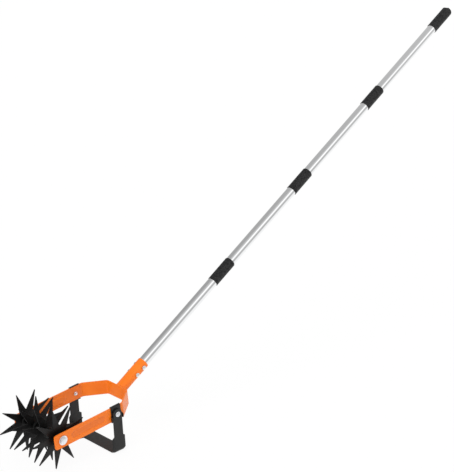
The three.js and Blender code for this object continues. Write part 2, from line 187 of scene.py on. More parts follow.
class Recipe(Nodes):
    """A material in the making, with one Principled shader."""

    def __init__(self, name: str) -> None:
        """Starts a material.

        Args:
            name: The material's name.
        """
        self.material = bpy.data.materials.new(name)
        super().__init__(self.material)
        self.shader = self.add("BsdfPrincipled")
        self.add("OutputMaterial", {"Surface": self.shader.outputs["BSDF"]})
        self.place = self.add("TexCoord").outputs["Object"]

    def turned(self, rotation: Sequence[float], scale: Sequence[float]) -> Output:
        """Object coordinates, turned and stretched.

        Args:
            rotation: Turn about X, Y and Z in radians.
            scale: Scale along the turned X, Y and Z.

        Returns:
            The coordinates.
        """
        inputs = {
            "Rotation": rotation, "Scale": [1.0 / value for value in scale], "Vector": self.place,
        }
        return self.add("Mapping", inputs, vector_type="TEXTURE").outputs["Vector"]

    def noise(self, scale: float, detail: float, vector: Output | None = None) -> Output:
        """A cloud of noise from 0 to 1.

        Args:
            scale: Clouds to the metre.
            detail: Octaves.
            vector: Coordinates, or the plain object coordinates when left out.

        Returns:
            The cloud.
        """
        inputs = {"Scale": scale, "Detail": detail, "Vector": vector or self.place}
        return self.add("TexNoise", inputs).outputs["Fac"]

    def cells(self, scale: float, smoothness: float) -> Output:
        """Rounded cells, as on grained plastic.

        Args:
            scale: Cells to the metre.
            smoothness: How round they are.

        Returns:
            The distance from the nearest cell's middle.
        """
        inputs = {"Scale": scale, "Smoothness": smoothness, "Vector": self.place}
        return self.add("TexVoronoi", inputs, feature="SMOOTH_F1").outputs["Distance"]

    def near_axle(self, centre: Sequence[float], reach: Sequence[float]) -> Output:
        """How close a point is to a line along Y.

        Args:
            centre: A point on the line, in metres.
            reach: The distances where the share is 1 and where it is 0.

        Returns:
            The share, from 0 to 1.
        """
        away = self.vectors("SUBTRACT", "Vector", self.place, centre)
        flat = self.vectors("MULTIPLY", "Vector", away, (1.0, 0.0, 1.0))
        return self.ranged(self.vectors("LENGTH", "Value", flat), reach, (1.0, 0.0))

    def marked(self, name: str, clouds: Output, least: float = 0.85) -> Output:
        """A mark that the mesh carries, made uneven by a cloud.

        Args:
            name: The mesh attribute, from 0 to 1.
            clouds: The cloud.
            least: How much of the mark is left where the cloud is dark.

        Returns:
            The share of the mark.
        """
        mark = self.add("Attribute", attribute_name=name).outputs["Fac"]
        return self.maths("MULTIPLY", mark, self.ranged(clouds, CLOUD_SPAN, (least, 1.0)))

    def tinted(
        self, share: Output, first: Colour, second: Colour, under: Output | None = None
    ) -> Output:
        """A colour between two.

        Args:
            share: 0 for the first colour and 1 for the second.
            first: The first colour.
            second: The second colour.
            under: An output that takes the first colour's place.

        Returns:
            The colour.
        """
        node = self.add("Mix", {"Factor": share}, data_type="RGBA")
        sockets = [socket for socket in node.inputs if socket.type == "RGBA"]
        sockets[0].default_value = (*first, 1.0)
        sockets[1].default_value = (*second, 1.0)
        if under is not None:
            self.tree.links.new(under, sockets[0])
        return next(socket for socket in node.outputs if socket.type == "RGBA")

    def raised(
        self, height: Output, strength: float, distance: float, under: Output | None = None
    ) -> Output:
        """A bump.

        Args:
            height: The relief.
            strength: How strongly it tells.
            distance: Its height in metres.
            under: A coarser bump that it lies on.

        Returns:
            The normal.
        """
        inputs = {"Strength": strength, "Distance": distance, "Height": height}
        if under is not None:
            inputs["Normal"] = under
        return self.add("Bump", inputs).outputs["Normal"]

    def finished(self, **inputs: Output | float) -> bpy.types.Material:
        """Feeds the shader.

        Args:
            inputs: What feeds each of its inputs, with the spaces in a name as underscores.

        Returns:
            The finished material.
        """
        self.feed(self.shader, {name.replace("_", " "): inputs[name] for name in inputs})
        return self.material


@dataclass(frozen=True)
class Finish:
    """What all finishes have: a name, the record's slot, a colour and its deeper form."""

    name: str
    slot: Slot
    colour: Colour
    deep: Colour

    def mix(self) -> bpy.types.Material:
        """Makes the material, each kind of finish in its own way."""
        raise NotImplementedError(self.name)


@dataclass(frozen=True)
class PaintFinish(Finish):
    """Powder paint on steel, with a fine orange peel and uneven depth of colour."""

    gloss: tuple[float, float] = (0.3, 0.42)
    peel: float = 0.12
    peel_scale: float = 1100.0
    peel_height: float = 0.00006
    cloud_scale: float = 26.0
    cloud_span: tuple[float, float] = (0.32, 0.68)
    haze_scale: float = 156.0
    haze_height: float = 0.00015
    coat: float = 0.1
    coat_gloss: float = 0.18
    sheen: float = 0.5
    # painted shade: a darker colour laid on the floor of each pressed oval
    pressed: Colour | None = None
    # painted shade: given the axle point below, the paint darkens to a near-black colour towards
    # the axle, for the shade between the star plates
    centre: Colour | None = None
    hub_shade: Colour = (0.0018, 0.0017, 0.0017)
    hub_shade_reach: tuple[float, float] = (0.015, 0.042)

    def mix(self) -> bpy.types.Material:
        """Makes the material."""
        recipe = Recipe(self.name)
        clouds = recipe.ranged(recipe.noise(self.cloud_scale, detail=4.0), self.cloud_span)
        specks = recipe.noise(self.peel_scale, detail=2.0)
        haze = recipe.noise(self.haze_scale, detail=3.0)
        broad = recipe.raised(haze, self.peel / 2.0, self.haze_height)
        paint = recipe.tinted(clouds, self.colour, self.deep)
        # painted shade: the floors of the pressed ovals take the darker colour
        if self.pressed is not None:
            marks = recipe.marked(PRESSED_SHADE, haze)
            paint = recipe.tinted(marks, self.pressed, self.pressed, paint)
        # painted shade: the paint darkens towards the axle, for the shade between the star plates
        if self.centre is not None:
            near = recipe.near_axle(self.centre, self.hub_shade_reach)
            paint = recipe.tinted(near, self.hub_shade, self.hub_shade, paint)
        return recipe.finished(
            Base_Color=paint,
            Roughness=recipe.ranged(haze, CLOUD_SPAN, self.gloss),
            Normal=recipe.raised(specks, self.peel, self.peel_height, broad),
            Coat_Weight=self.coat,
            Coat_Roughness=self.coat_gloss,
            Specular_IOR_Level=self.sheen,
        )


@dataclass(frozen=True)
class PlatedFinish(Finish):
    """Bright zinc plating, with the faint cloudy tint and pitting of the bath."""

    gloss: tuple[float, float] = (0.16, 0.3)
    bath_scale: float = 160.0
    bath_span: tuple[float, float] = (0.35, 0.65)
    pit_scale: float = 2600.0
    pits: float = 0.08
    pit_depth: float = 0.00003

    def mix(self) -> bpy.types.Material:
        """Makes the material."""
        recipe = Recipe(self.name)
        bath = recipe.noise(self.bath_scale, detail=4.0)
        pits = recipe.noise(self.pit_scale, detail=2.0)
        return recipe.finished(
            Base_Color=recipe.tinted(recipe.ranged(bath, self.bath_span), self.colour, self.deep),
            Roughness=recipe.ranged(bath, CLOUD_SPAN, self.gloss),
            Normal=recipe.raised(pits, self.pits, self.pit_depth),
            Metallic=1.0,
        )


@dataclass(frozen=True)
class DrawnFinish(Finish):
    """Polished steel tube, with the long fine lines that drawing leaves along it."""

    lift: float
    gloss: tuple[float, float] = (0.06, 0.13)
    line_scale: tuple[float, float, float] = (9.0, 1400.0, 1400.0)
    lines: float = 0.1
    line_depth: float = 0.00001
    smear_scale: float = 14.0

    def mix(self) -> bpy.types.Material:
        """Makes the material."""
        recipe = Recipe(self.name)
        along = recipe.turned((0.0, -self.lift, 0.0), self.line_scale)
        lines = recipe.noise(1.0, detail=3.0, vector=along)
        smears = recipe.noise(self.smear_scale, detail=3.0)
        return recipe.finished(
            Base_Color=recipe.tinted(recipe.ranged(lines, CLOUD_SPAN), self.colour, self.deep),
            Roughness=recipe.ranged(smears, CLOUD_SPAN, self.gloss),
            Normal=recipe.raised(lines, self.lines, self.line_depth),
            Metallic=1.0,
        )


@dataclass(frozen=True)
class MouldedFinish(Finish):
    """Black plastic with a fine moulded grain."""

    gloss: tuple[float, float] = (0.48, 0.66)
    grain: float = 0.45
    grain_scale: float = 1300.0
    grain_height: float = 0.00012
    grain_smoothness: float = 0.35
    patch_scale: float = 260.0
    patch_span: tuple[float, float] = (0.38, 0.62)
    swell: float = 0.15
    swell_scale: float = 90.0
    swell_height: float = 0.0002
    sheen: float = 0.35

    def mix(self) -> bpy.types.Material:
        """Makes the material."""
        recipe = Recipe(self.name)
        cells = recipe.cells(self.grain_scale, self.grain_smoothness)
        patches = recipe.noise(self.patch_scale, detail=4.0)
        swells = recipe.noise(self.swell_scale, detail=3.0)
        base = recipe.raised(swells, self.swell, self.swell_height)
        tint = recipe.ranged(patches, self.patch_span)
        return recipe.finished(
            Base_Color=recipe.tinted(tint, self.colour, self.deep),
            Roughness=recipe.ranged(patches, CLOUD_SPAN, self.gloss),
            Normal=recipe.raised(cells, self.grain, self.grain_height, base),
            Specular_IOR_Level=self.sheen,
        )


POLE_RISE = math.radians(32.7)

# The yoke paint's pressed colour is a painted shade for the floors of its pressed ovals.
YOKE_PAINT = PaintFinish(
    "yoke_orange_paint_with_painted_oval_shade", Slot.ORANGE, (0.885, 0.196, 0.0115), (0.835, 0.171, 0.0075),
    sheen=0.26, pressed=(0.755, 0.16, 0.0155),
)
STAR_PAINT = PaintFinish(
    "star_black_paint_with_painted_hub_shade", Slot.BLACK, (0.007, 0.0064, 0.0064), (0.0042, 0.0039, 0.004),
    gloss=(0.36, 0.5), peel=0.16, coat=0.0, sheen=0.26,
)
HOE_PAINT = PaintFinish(
    "hoe_black_powder_paint", Slot.BLACK, (0.0125, 0.0125, 0.0125), (0.0105, 0.0105, 0.0105),
    gloss=(0.4, 0.5), peel=0.16, coat=0.0, sheen=0.31,
)
BRIGHT_ZINC = PlatedFinish(
    "bolt_bright_zinc", Slot.ZINC, (0.82, 0.83, 0.85), (0.7, 0.71, 0.74)
)
POLE_STEEL = DrawnFinish(
    "pole_polished_steel", Slot.STEEL, (0.88, 0.885, 0.89), (0.78, 0.785, 0.79), POLE_RISE
)
GRIP_PLASTIC = MouldedFinish(
    "grip_grained_plastic", Slot.PLASTIC, (0.0185, 0.0185, 0.019), (0.003, 0.003, 0.0032)
)


# ---------------------------------------------------------------- shaping


def as_mesh(shape: BMesh, name: str) -> bpy.types.Mesh:
    """Writes a body to a new mesh, and uses the body up."""
    mesh = bpy.data.meshes.new(name)
    shape.to_mesh(mesh)
    shape.free()
    return mesh


def put(name: str, data: bpy.types.ID) -> bpy.types.Object:
    """Puts a mesh, lamp or camera into the scene as a new object, and returns it."""
    thing = bpy.data.objects.new(name, data)
    bpy.context.scene.collection.objects.link(thing)
    return thing


def shift(distance: float) -> Matrix:
    """A move along X."""
    return Matrix.Translation((distance, 0.0, 0.0))


def lathe(profile: Sequence[tuple[float, float]], steps: int, ring: bool = False) -> BMesh:
    """Turns a profile about X.

    Args:
        profile: Points of place along X and radius.
        steps: Facets round the full turn.
        ring: True for a profile that closes on itself, clear of the axis.

    Returns:
        The turned body.
    """
    shape = bmesh.new()
    points = [shape.verts.new((along, radius, 0.0)) for along, radius in profile]
    pairs = list(zip(points, points[1:]))
    if ring:
        pairs.append((points[-1], points[0]))
    edges = [shape.edges.new(pair) for pair in pairs]
    bmesh.ops.spin(
        shape,
        geom=[*points, *edges],
        cent=(0.0, 0.0, 0.0),
        axis=(1.0, 0.0, 0.0),
        angle=FULL_TURN,
        steps=steps,
        use_merge=True,
    )
    bmesh.ops.remove_doubles(shape, verts=shape.verts[:], dist=MERGE)
    bmesh.ops.recalc_face_normals(shape, faces=shape.faces[:])
    return shape


def slab(outline: Sequence[tuple[float, float]], low: float, high: float) -> BMesh:
    """Raises an outline in X and Z into a plate that lies along Y.

    Args:
        outline: Points of X and Z.
        low: Where the plate starts along Y.
        high: Where it ends.

    Returns:
        The plate.
    """
    shape = bmesh.new()
    face = shape.faces.new([shape.verts.new((x, low, z)) for x, z in outline])
    grown = bmesh.ops.extrude_face_region(shape, geom=[face])
    bmesh.ops.translate(
        shape,
        verts=[item for item in grown["geom"] if isinstance(item, BMVert)],
        vec=(0.0, high - low, 0.0),
    )
    bmesh.ops.recalc_face_normals(shape, faces=shape.faces[:])
    return shape


def sharp_edges(shape: BMesh, angle: float = 35.0) -> list[BMEdge]:
    """The edges between faces that meet at more than an angle.

    Args:
        shape: The body.
        angle: The least angle, in degrees.

    Returns:
        Those edges.
    """
    limit = math.radians(angle)
    return [edge for edge in shape.edges if edge.is_manifold and edge.calc_face_angle() > limit]


def soften(
    shape: BMesh, width: float, segments: int = 2, edges: list[BMEdge] | None = None
) -> BMesh:
    """Rounds sharp edges.

    Args:
        shape: The body.
        width: How far the rounding reaches from the edge.
        segments: Facets across the rounding.
        edges: The edges, or every sharp one when left out.

    Returns:
        The same body.
    """
    bmesh.ops.bevel(
        shape,
        geom=sharp_edges(shape) if edges is None else edges,
        offset=width,
        offset_type="OFFSET",
        profile_type="SUPERELLIPSE",
        segments=segments,
        profile=0.5,
        affect="EDGES",
        clamp_overlap=True,
        material=-1,
    )
    return shape


def moved(shape: BMesh, place: Matrix) -> BMesh:
    """Carries a body to a place, and returns it."""
    shape.transform(place)
    if place.determinant() < 0.0:
        bmesh.ops.reverse_faces(shape, faces=shape.faces[:])
    return shape


def combine(first: BMesh, second: BMesh, cut: Cut) -> BMesh:
    """Joins, cuts or trims one body by another.

    Args:
        first: The body that is kept.
        second: The body that works on it. It is used up, as the first is.
        cut: What is done.

    Returns:
        The new body.
    """
    blanks = [put("blank", as_mesh(shape, "blank")) for shape in (first, second)]
    work = blanks[0].modifiers.new("cut", "BOOLEAN")
    work.operation = cut.value
    work.object = blanks[1]
    work.solver = "EXACT"
    graph = bpy.context.evaluated_depsgraph_get()
    made = bpy.data.meshes.new_from_object(blanks[0].evaluated_get(graph))
    result = bmesh.new()
    result.from_mesh(made)
    bpy.data.meshes.remove(made)
    for blank in blanks:
        mesh = blank.data
        bpy.data.objects.remove(blank)
        bpy.data.meshes.remove(mesh)
    bmesh.ops.remove_doubles(result, verts=result.verts[:], dist=MERGE)
    return result


def gather(*shapes: BMesh) -> BMesh:
    """Puts separate bodies into one mesh, and returns it."""
    whole = bmesh.new()
    for shape in shapes:
        mesh = as_mesh(shape, "blank")
        whole.from_mesh(mesh)
        bpy.data.meshes.remove(mesh)
    return whole


def rod(radius: float, start: float, end: float, steps: int = 32) -> BMesh:
    """A plain round bar along X.

    Args:
        radius: Its radius.
        start: Where it starts along X.
        end: Where it ends.
        steps: Facets round it.

    Returns:
        The bar.
    """
    return lathe([(start, 0.0), (start, radius), (end, radius), (end, 0.0)], steps)


def drill(radius: float, reach: float, steps: int = 32) -> BMesh:
    """A round bar along Y, from -reach to reach, for cutting a hole with."""
    return moved(rod(radius, -reach, reach, steps), ACROSS)


def arc(
    centre: tuple[float, float], radius: float, start: float, end: float, steps: int
) -> Profile:
    """Points along a round corner.

    Args:
        centre: Its centre.
        radius: Its radius.
        start: The angle of its first point, in degrees.
        end: The angle of its last point, in degrees.
        steps: Chords along it.

    Returns:
        The points.
    """
    turns = [math.radians(start + (end - start) * i / steps) for i in range(steps + 1)]
    return [
        (centre[0] + radius * math.cos(turn), centre[1] + radius * math.sin(turn))
        for turn in turns
    ]


def shoulder(low: float, rise: float, rim: float, fall: float, steps: int) -> Profile:
    """A quarter round that falls from a rim towards the axis, as on a button head.

    Args:
        low: Where it starts along X.
        rise: How far it goes along X.
        rim: The radius that it starts at.
        fall: How much smaller the radius gets.
        steps: Chords along it.

    Returns:
        Its points after the first.
    """
    turns = [math.pi / 2.0 * i / steps for i in range(1, steps + 1)]
    return [(low + rise * math.sin(t), rim - fall * (1.0 - math.cos(t))) for t in turns]


def broken_edge(face: float, radius: float, lip: float, way: float) -> Profile:
    """The broken edge round an end face.

    Args:
        face: Where the end face is along X.
        radius: The radius beside it.
        lip: Size of the broken edge.
        way: 1 where the body is towards +X of the face, and -1 where it is towards -X.

    Returns:
        Its points, from the end face outwards.
    """
    middle = lip * BREAK_MIDDLE
    return [
        (face, radius - lip), (face + way * middle, radius - middle), (face + way * lip, radius),
    ]


def sleeve(bore: float, outer: float, start: float, end: float, lip: float) -> BMesh:
    """A washer or spacer along X with its outer edges broken.

    Args:
        bore: Inner radius.
        outer: Outer radius.
        start: Where it starts.
        end: Where it ends.
        lip: Size of the broken edges.

    Returns:
        The sleeve.
    """
    near, far = broken_edge(start, outer, lip, 1.0), broken_edge(end, outer, lip, -1.0)
    return lathe([(start, bore), *near, *far[::-1], (end, bore)], 64, ring=True)


def hexagon(across: float, start: float, end: float) -> BMesh:
    """A six-sided bar along X, with its corners rounded off at both ends as on a nut.

    Args:
        across: Its size across the flats.
        start: Where it starts along X.
        end: Where it ends.

    Returns:
        The bar.
    """
    corner = across / 2.0 / math.cos(math.pi / 6.0)
    flat = across / 2.0 * NUT_FACE
    slope = (corner - flat) * NUT_SLOPE
    wide = corner + SLIVER
    dome = lathe(
        [
            (start, 0.0), (start, flat), (start + slope, wide),
            (end - slope, wide), (end, flat), (end, 0.0),
        ],
        steps=48,
    )
    return combine(rod(corner, start, end, 6), dome, Cut.KEEP)


def cross_drilled(tube: BMesh, places: Sequence[float], radius: float) -> BMesh:
    """Drills a tube along X from side to side.

    Args:
        tube: The tube. It is used up.
        places: Where the holes are along it.
        radius: Their radius.

    Returns:
        The drilled tube.
    """
    for place in places:
        tube = combine(tube, moved(drill(radius, DRILL_REACH, 24), shift(place)), Cut.REMOVE)
    return tube


def key_recess(bolt: BMesh, top: float, across: float, depth: float) -> BMesh:
    """Sinks a six-sided key hole into the head of a bolt along X.

    Args:
        bolt: The bolt. It is used up.
        top: Where its head ends.
        across: The key's size across its flats.
        depth: How deep the hole is.

    Returns:
        The bolt.
    """
    return combine(bolt, rod(across / HEX_RATIO, top - depth, top + CLEAR, 6), Cut.REMOVE)


@dataclass(frozen=True)
class Thread:
    """A threaded end, drawn as close rings, and the plain lengths before and after it."""

    depth: float
    pitch: float
    lead: float
    runout: float
    tip: float

    def shank(self, radius: float, end: float, stop: float, under: float) -> Profile:
        """The profile of a bolt as far as its head.

        Args:
            radius: Radius of the shank.
            end: Where its tip is along X.
            stop: Where the thread stops.
            under: Where the head starts.

        Returns:
            Points of place along X and radius.
        """
        start = end + self.lead
        count = max(1, round((stop - start) / self.pitch))
        step = (stop - start) / count
        points = [(end, 0.0), (end, radius - self.tip)]
        for i in range(count):
            points.append((start + step * i, radius - self.depth))
            points.append((start + step * (i + 0.5), radius))
        points.append((stop, radius - self.depth))
        return [*points, (stop + self.runout, radius), (under, radius)]


@dataclass(frozen=True)
class Run:
    """A straight run of a bent strip, or a round bend of it."""

    begin: float  # how far along the strip it starts
    end: float
    point: Vector  # where it starts
    way: Vector  # its first direction
    turn: float = 0.0  # in radians, and zero on a straight run


@dataclass(frozen=True)
class BentPath:
    """A bent strip seen on edge: straight runs joined by round bends, all to the left."""

    corners: tuple[tuple[float, float], ...]
    radius: float

    def runs(self) -> list[Run]:
        """Lists the straight runs and the bends, from one end of the strip to the other."""
        points = [Vector(corner) for corner in self.corners]
        found: list[Run] = []
        reached = 0.0
        start = points[0]
        for i in range(1, len(points)):
            way = (points[i] - points[i - 1]).normalized()
            turn = 0.0
            if i < len(points) - 1:
                after = (points[i + 1] - points[i]).normalized()
                turn = math.acos(max(-1.0, min(1.0, way.dot(after))))
            reach = self.radius * math.tan(turn / 2.0)
            stop = points[i] - way * reach
            length = (stop - start).length
            found.append(Run(reached, reached + length, start, way))
            reached += length
            if turn:
                found.append(Run(reached, reached + self.radius * turn, stop, way, turn))
                reached += self.radius * turn
                start = points[i] + after * reach
        return found

    def length(self) -> float:
        """The strip's developed length over its outer face."""
        return self.runs()[-1].end

    def at(self, along: float) -> tuple[Vector, Vector]:
        """Finds a place on the strip.

        Args:
            along: How far along the outer face.

        Returns:
            The point on the outer face, and the direction through the strip.
        """
        runs = self.runs()
        run = next((item for item in runs if along <= item.end), runs[-1])
        inward = Vector((-run.way.y, run.way.x))
        gone = along - run.begin
        if not run.turn:
            return run.point + run.way * gone, inward
        facing = Matrix.Rotation(gone / self.radius, 2) @ inward
        return run.point + inward * self.radius - facing * self.radius, facing


def spread(start: float, spans: Sequence[tuple[float, float]]) -> list[float]:
    """Stations along a line.

    Args:
        start: Where the line starts.
        spans: End and widest step of each span, one after another.

    Returns:
        The stations, each once.
    """
    stations = [start]
    for end, step in spans:
        count = max(1, math.ceil((end - start) / step - HAIR))
        stations.extend(start + (end - start) * (i + 1) / count for i in range(count))
        start = end
    return stations


def smooth_step(value: float) -> float:
    """An even rise from 0 to 1 as the value goes from 0 to 1."""
    value = max(0.0, min(1.0, value))
    return value * value * (3.0 - 2.0 * value)


# ---------------------------------------------------------------- delivery


@dataclass
class Workshop:
    """Mixes finishes once, and delivers finished pieces onto their bodies."""

    axle: Vector
    pivot: Vector
    yoke_pitch: float = 6.0
    pole_lift: float = 26.7
    back_reach: float = 219.0
    stirrup_lean: float = 3.0
    pots: dict[str, bpy.types.Material] = field(default_factory=dict)

    def head(self) -> Matrix:
        """The yoke's frame: its origin on the axle, +X back along the arms."""
        pitch = Matrix.Rotation(-math.radians(self.yoke_pitch), 4, "Y")
        return Matrix.Translation(self.axle) @ pitch

    def pole(self) -> Matrix:
        """The pole's frame: its origin on the yoke's back face, +X up the pole."""
        lift = Matrix.Rotation(-math.radians(self.pole_lift), 4, "Y")
        return self.head() @ shift(self.back_reach) @ lift

    def hanger(self) -> Matrix:
        """The stirrup's frame: its origin on the pivot, hanging a little back."""
        lean = math.radians(self.stirrup_lean - self.yoke_pitch)
        return Matrix.Translation(self.pivot) @ Matrix.Rotation(lean, 4, "Y")

    def pot(self, finish: Finish) -> bpy.types.Material:
        """The material of a finish, mixed on first use."""
        if finish.name not in self.pots:
            self.pots[finish.name] = finish.mix()
        return self.pots[finish.name]

    def deliver(
        self,
        shape: BMesh,
        name: str,
        finish: Finish,
        place: Matrix,
        stands_for: str | None = None,
        body: str = "frame",
    ) -> None:
        """Makes a piece of a shape.

        Args:
            shape: The piece's body, in millimetres. It is used up.
            name: The piece's name.
            finish: Its finish.
            place: The frame that the shape was made in.
            stands_for: The CAD node that it replaces.
            body: The moving body it rides on.
        """
        mesh = as_mesh(moved(shape, Matrix.Scale(MM, 4) @ place), name)
        mesh.shade_smooth()
        mesh.set_sharp_from_angle(angle=CREASE)
        mesh.materials.append(self.pot(finish))
        piece = put(name, mesh)
        weigh = piece.modifiers.new("even_flats", "WEIGHTED_NORMAL")
        weigh.keep_sharp = True
        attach(piece, body)
        if stands_for is not None:
            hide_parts(stands_for)
        LOG.info("piece %s on %s: %d faces", name, body, len(mesh.polygons))

    def dress(self, node: str, finish: Finish) -> None:
        """Gives a CAD node its finish.

        Args:
            node: The node's name.
            finish: Its finish.
        """
        mesh = frame["nodes"][node].data
        mesh.materials.clear()
        mesh.materials.append(self.pot(finish))
        LOG.info("node %s dressed in %s", node, finish.name)


# ---------------------------------------------------------------- yoke


@dataclass
class Yoke:
    """The strip bent into a wide U, with a pressed oval in each arm."""

    height: float = 35.0
    thickness: float = 3.0
    width: float = 151.0
    front_reach: float = 21.5
    corner_radius: float = 6.0
    pivot_reach: float = 149.0
    bend_behind_pivot: float = 22.0
    back_behind_bend: float = 48.0
    back_width: float = 73.0
    bend_radius: float = 9.0
    oval_front: float = 25.0
    oval_before_pivot: float = 29.5
    oval_height: float = 16.0
    oval_depth: float = 1.35
    oval_slope: float = 3.0
    edge_round: float = 0.45
    axle_hole: float = 5.3
    pivot_hole: float = 3.3
    plain_step: float = 6.0
    panel_step: float = 5.0
    corner_step: float = 1.5
    bend_step: float = 1.0
    rim_step: float = 0.6
    rim_margin: float = 1.0
    row_steps: tuple[float, float, float] = (1.6, 0.5, 2.0)

    def path(self) -> BentPath:
        """The strip's outer face seen from above."""
        half = self.width / 2.0
        bend = self.pivot_reach + self.bend_behind_pivot
        back = bend + self.back_behind_bend
        return BentPath(
            (
                (-self.front_reach, -half), (bend, -half), (back, -self.back_width / 2.0),
                (back, self.back_width / 2.0), (bend, half), (-self.front_reach, half),
            ),
            self.bend_radius + self.thickness,
        )

    def columns(self, path: BentPath) -> list[float]:
        """Stations along the strip, close together where it turns or dips.

        Args:
            path: The strip's outer face.

        Returns:
            The stations over its whole length.
        """
        first = self.front_reach + self.oval_front
        last = self.front_reach + self.pivot_reach - self.oval_before_pivot
        round_end = self.oval_height / 2.0 + self.rim_margin
        spans = [
            (self.corner_radius, self.corner_step),
            (first - self.oval_slope, self.plain_step),
            (first + round_end, self.rim_step),
            (last - round_end, self.panel_step),
            (last + self.oval_slope, self.rim_step),
        ]
        for bend in [run for run in path.runs() if run.turn][:2]:
            spans += [(bend.begin, self.plain_step), (bend.end, self.bend_step)]
        half = spread(0.0, [*spans, (path.length() / 2.0, self.plain_step)])
        return half + [path.length() - station for station in reversed(half[:-1])]

    def rows(self) -> list[float]:
        """Stations across the strip, from its lower to its upper edge."""
        rim = self.oval_height / 2.0
        slope = (self.oval_slope + self.rim_margin) / 2.0
        side = self.height / 2.0
        ends = (rim - slope, rim + slope, side - self.corner_radius, side)
        half = spread(0.0, list(zip(ends, (*self.row_steps, self.corner_step))))
        return [-row for row in reversed(half[1:])] + half

    def dip(self, along: float, across: float) -> float:
        """How deep the pressed oval is at a place.

        Args:
            along: Distance from the nearer front end of the strip.
            across: Height over the strip's middle line.

        Returns:
            The depth.
        """
        radius = self.oval_height / 2.0
        first = self.front_reach + self.oval_front + radius
        last = self.front_reach + self.pivot_reach - self.oval_before_pivot - radius
        nearest = max(first, min(last, along))
        distance = math.hypot(along - nearest, across) - radius
        return self.oval_depth * smooth_step(0.5 - distance / self.oval_slope)

    def rounded(self, along: float, across: float, length: float) -> tuple[float, float]:
        """Draws the strip's square corners in to round ones.

        Args:
            along: Place along the strip.
            across: Place across it.
            length: The strip's length.

        Returns:
            The place that it moves to.
        """
        radius = self.corner_radius
        from_end = min(along, length - along)
        a = (radius - from_end) / radius
        b = (abs(across) - self.height / 2.0 + radius) / radius
        if a <= 0.0 or b <= 0.0:
            return along, across
        end = radius - radius * a * math.sqrt(1.0 - b * b / 2.0)
        rise = self.height / 2.0 - radius + radius * b * math.sqrt(1.0 - a * a / 2.0)
        return (end if along < length / 2.0 else length - end), math.copysign(rise, across)

    def strip(self) -> BMesh:
        """Cuts the flat blank, presses its ovals and bends it."""
        path = self.path()
        columns, rows = self.columns(path), self.rows()
        length = path.length()
        blank = bmesh.new()
        blank = bmesh.new()
        bmesh.ops.create_grid(
            blank, x_segments=len(columns) - 1, y_segments=len(rows) - 1, size=GRID_HALF
        )
        for vert in blank.verts:
            i = round((vert.co.x + GRID_HALF) * (len(columns) - 1))
            j = round((vert.co.y + GRID_HALF) * (len(rows) - 1))
            vert.co = (*self.rounded(columns[i], rows[j], length), 0.0)
        grown = bmesh.ops.extrude_face_region(blank, geom=blank.faces[:])
        raised = [item for item in grown["geom"] if isinstance(item, BMVert)]
        bmesh.ops.translate(blank, verts=raised, vec=(0.0, 0.0, self.thickness))
        bmesh.ops.recalc_face_normals(blank, faces=blank.faces[:])
        soften(blank, self.edge_round)
        # marks the pressed ovals on the outer face, where the paint takes a painted shade
        pressed = blank.verts.layers.float.new(PRESSED_SHADE)
        for vert in blank.verts:
            along, across, depth = vert.co
            sunk = self.dip(min(along, length - along), across)
            vert[pressed] = sunk / self.oval_depth if depth < self.thickness / 2.0 else 0.0
            depth += sunk
            point, inward = path.at(along)
            spot = point + inward * depth
            vert.co = (spot.x, spot.y, across)
        bmesh.ops.recalc_face_normals(blank, faces=blank.faces[:])
        return blank

    def shape(self) -> BMesh:
        """The whole yoke, with its holes."""
        axle = drill(self.axle_hole, self.width, 40)
        pivot = moved(drill(self.pivot_hole, self.width), shift(self.pivot_reach))
        return combine(self.strip(), gather(axle, pivot), Cut.REMOVE)

    def build(self, shop: Workshop) -> None:
        """Delivers the yoke."""
        shop.deliver(self.shape(), "yoke_strip", YOKE_PAINT, shop.head(), "yoke")


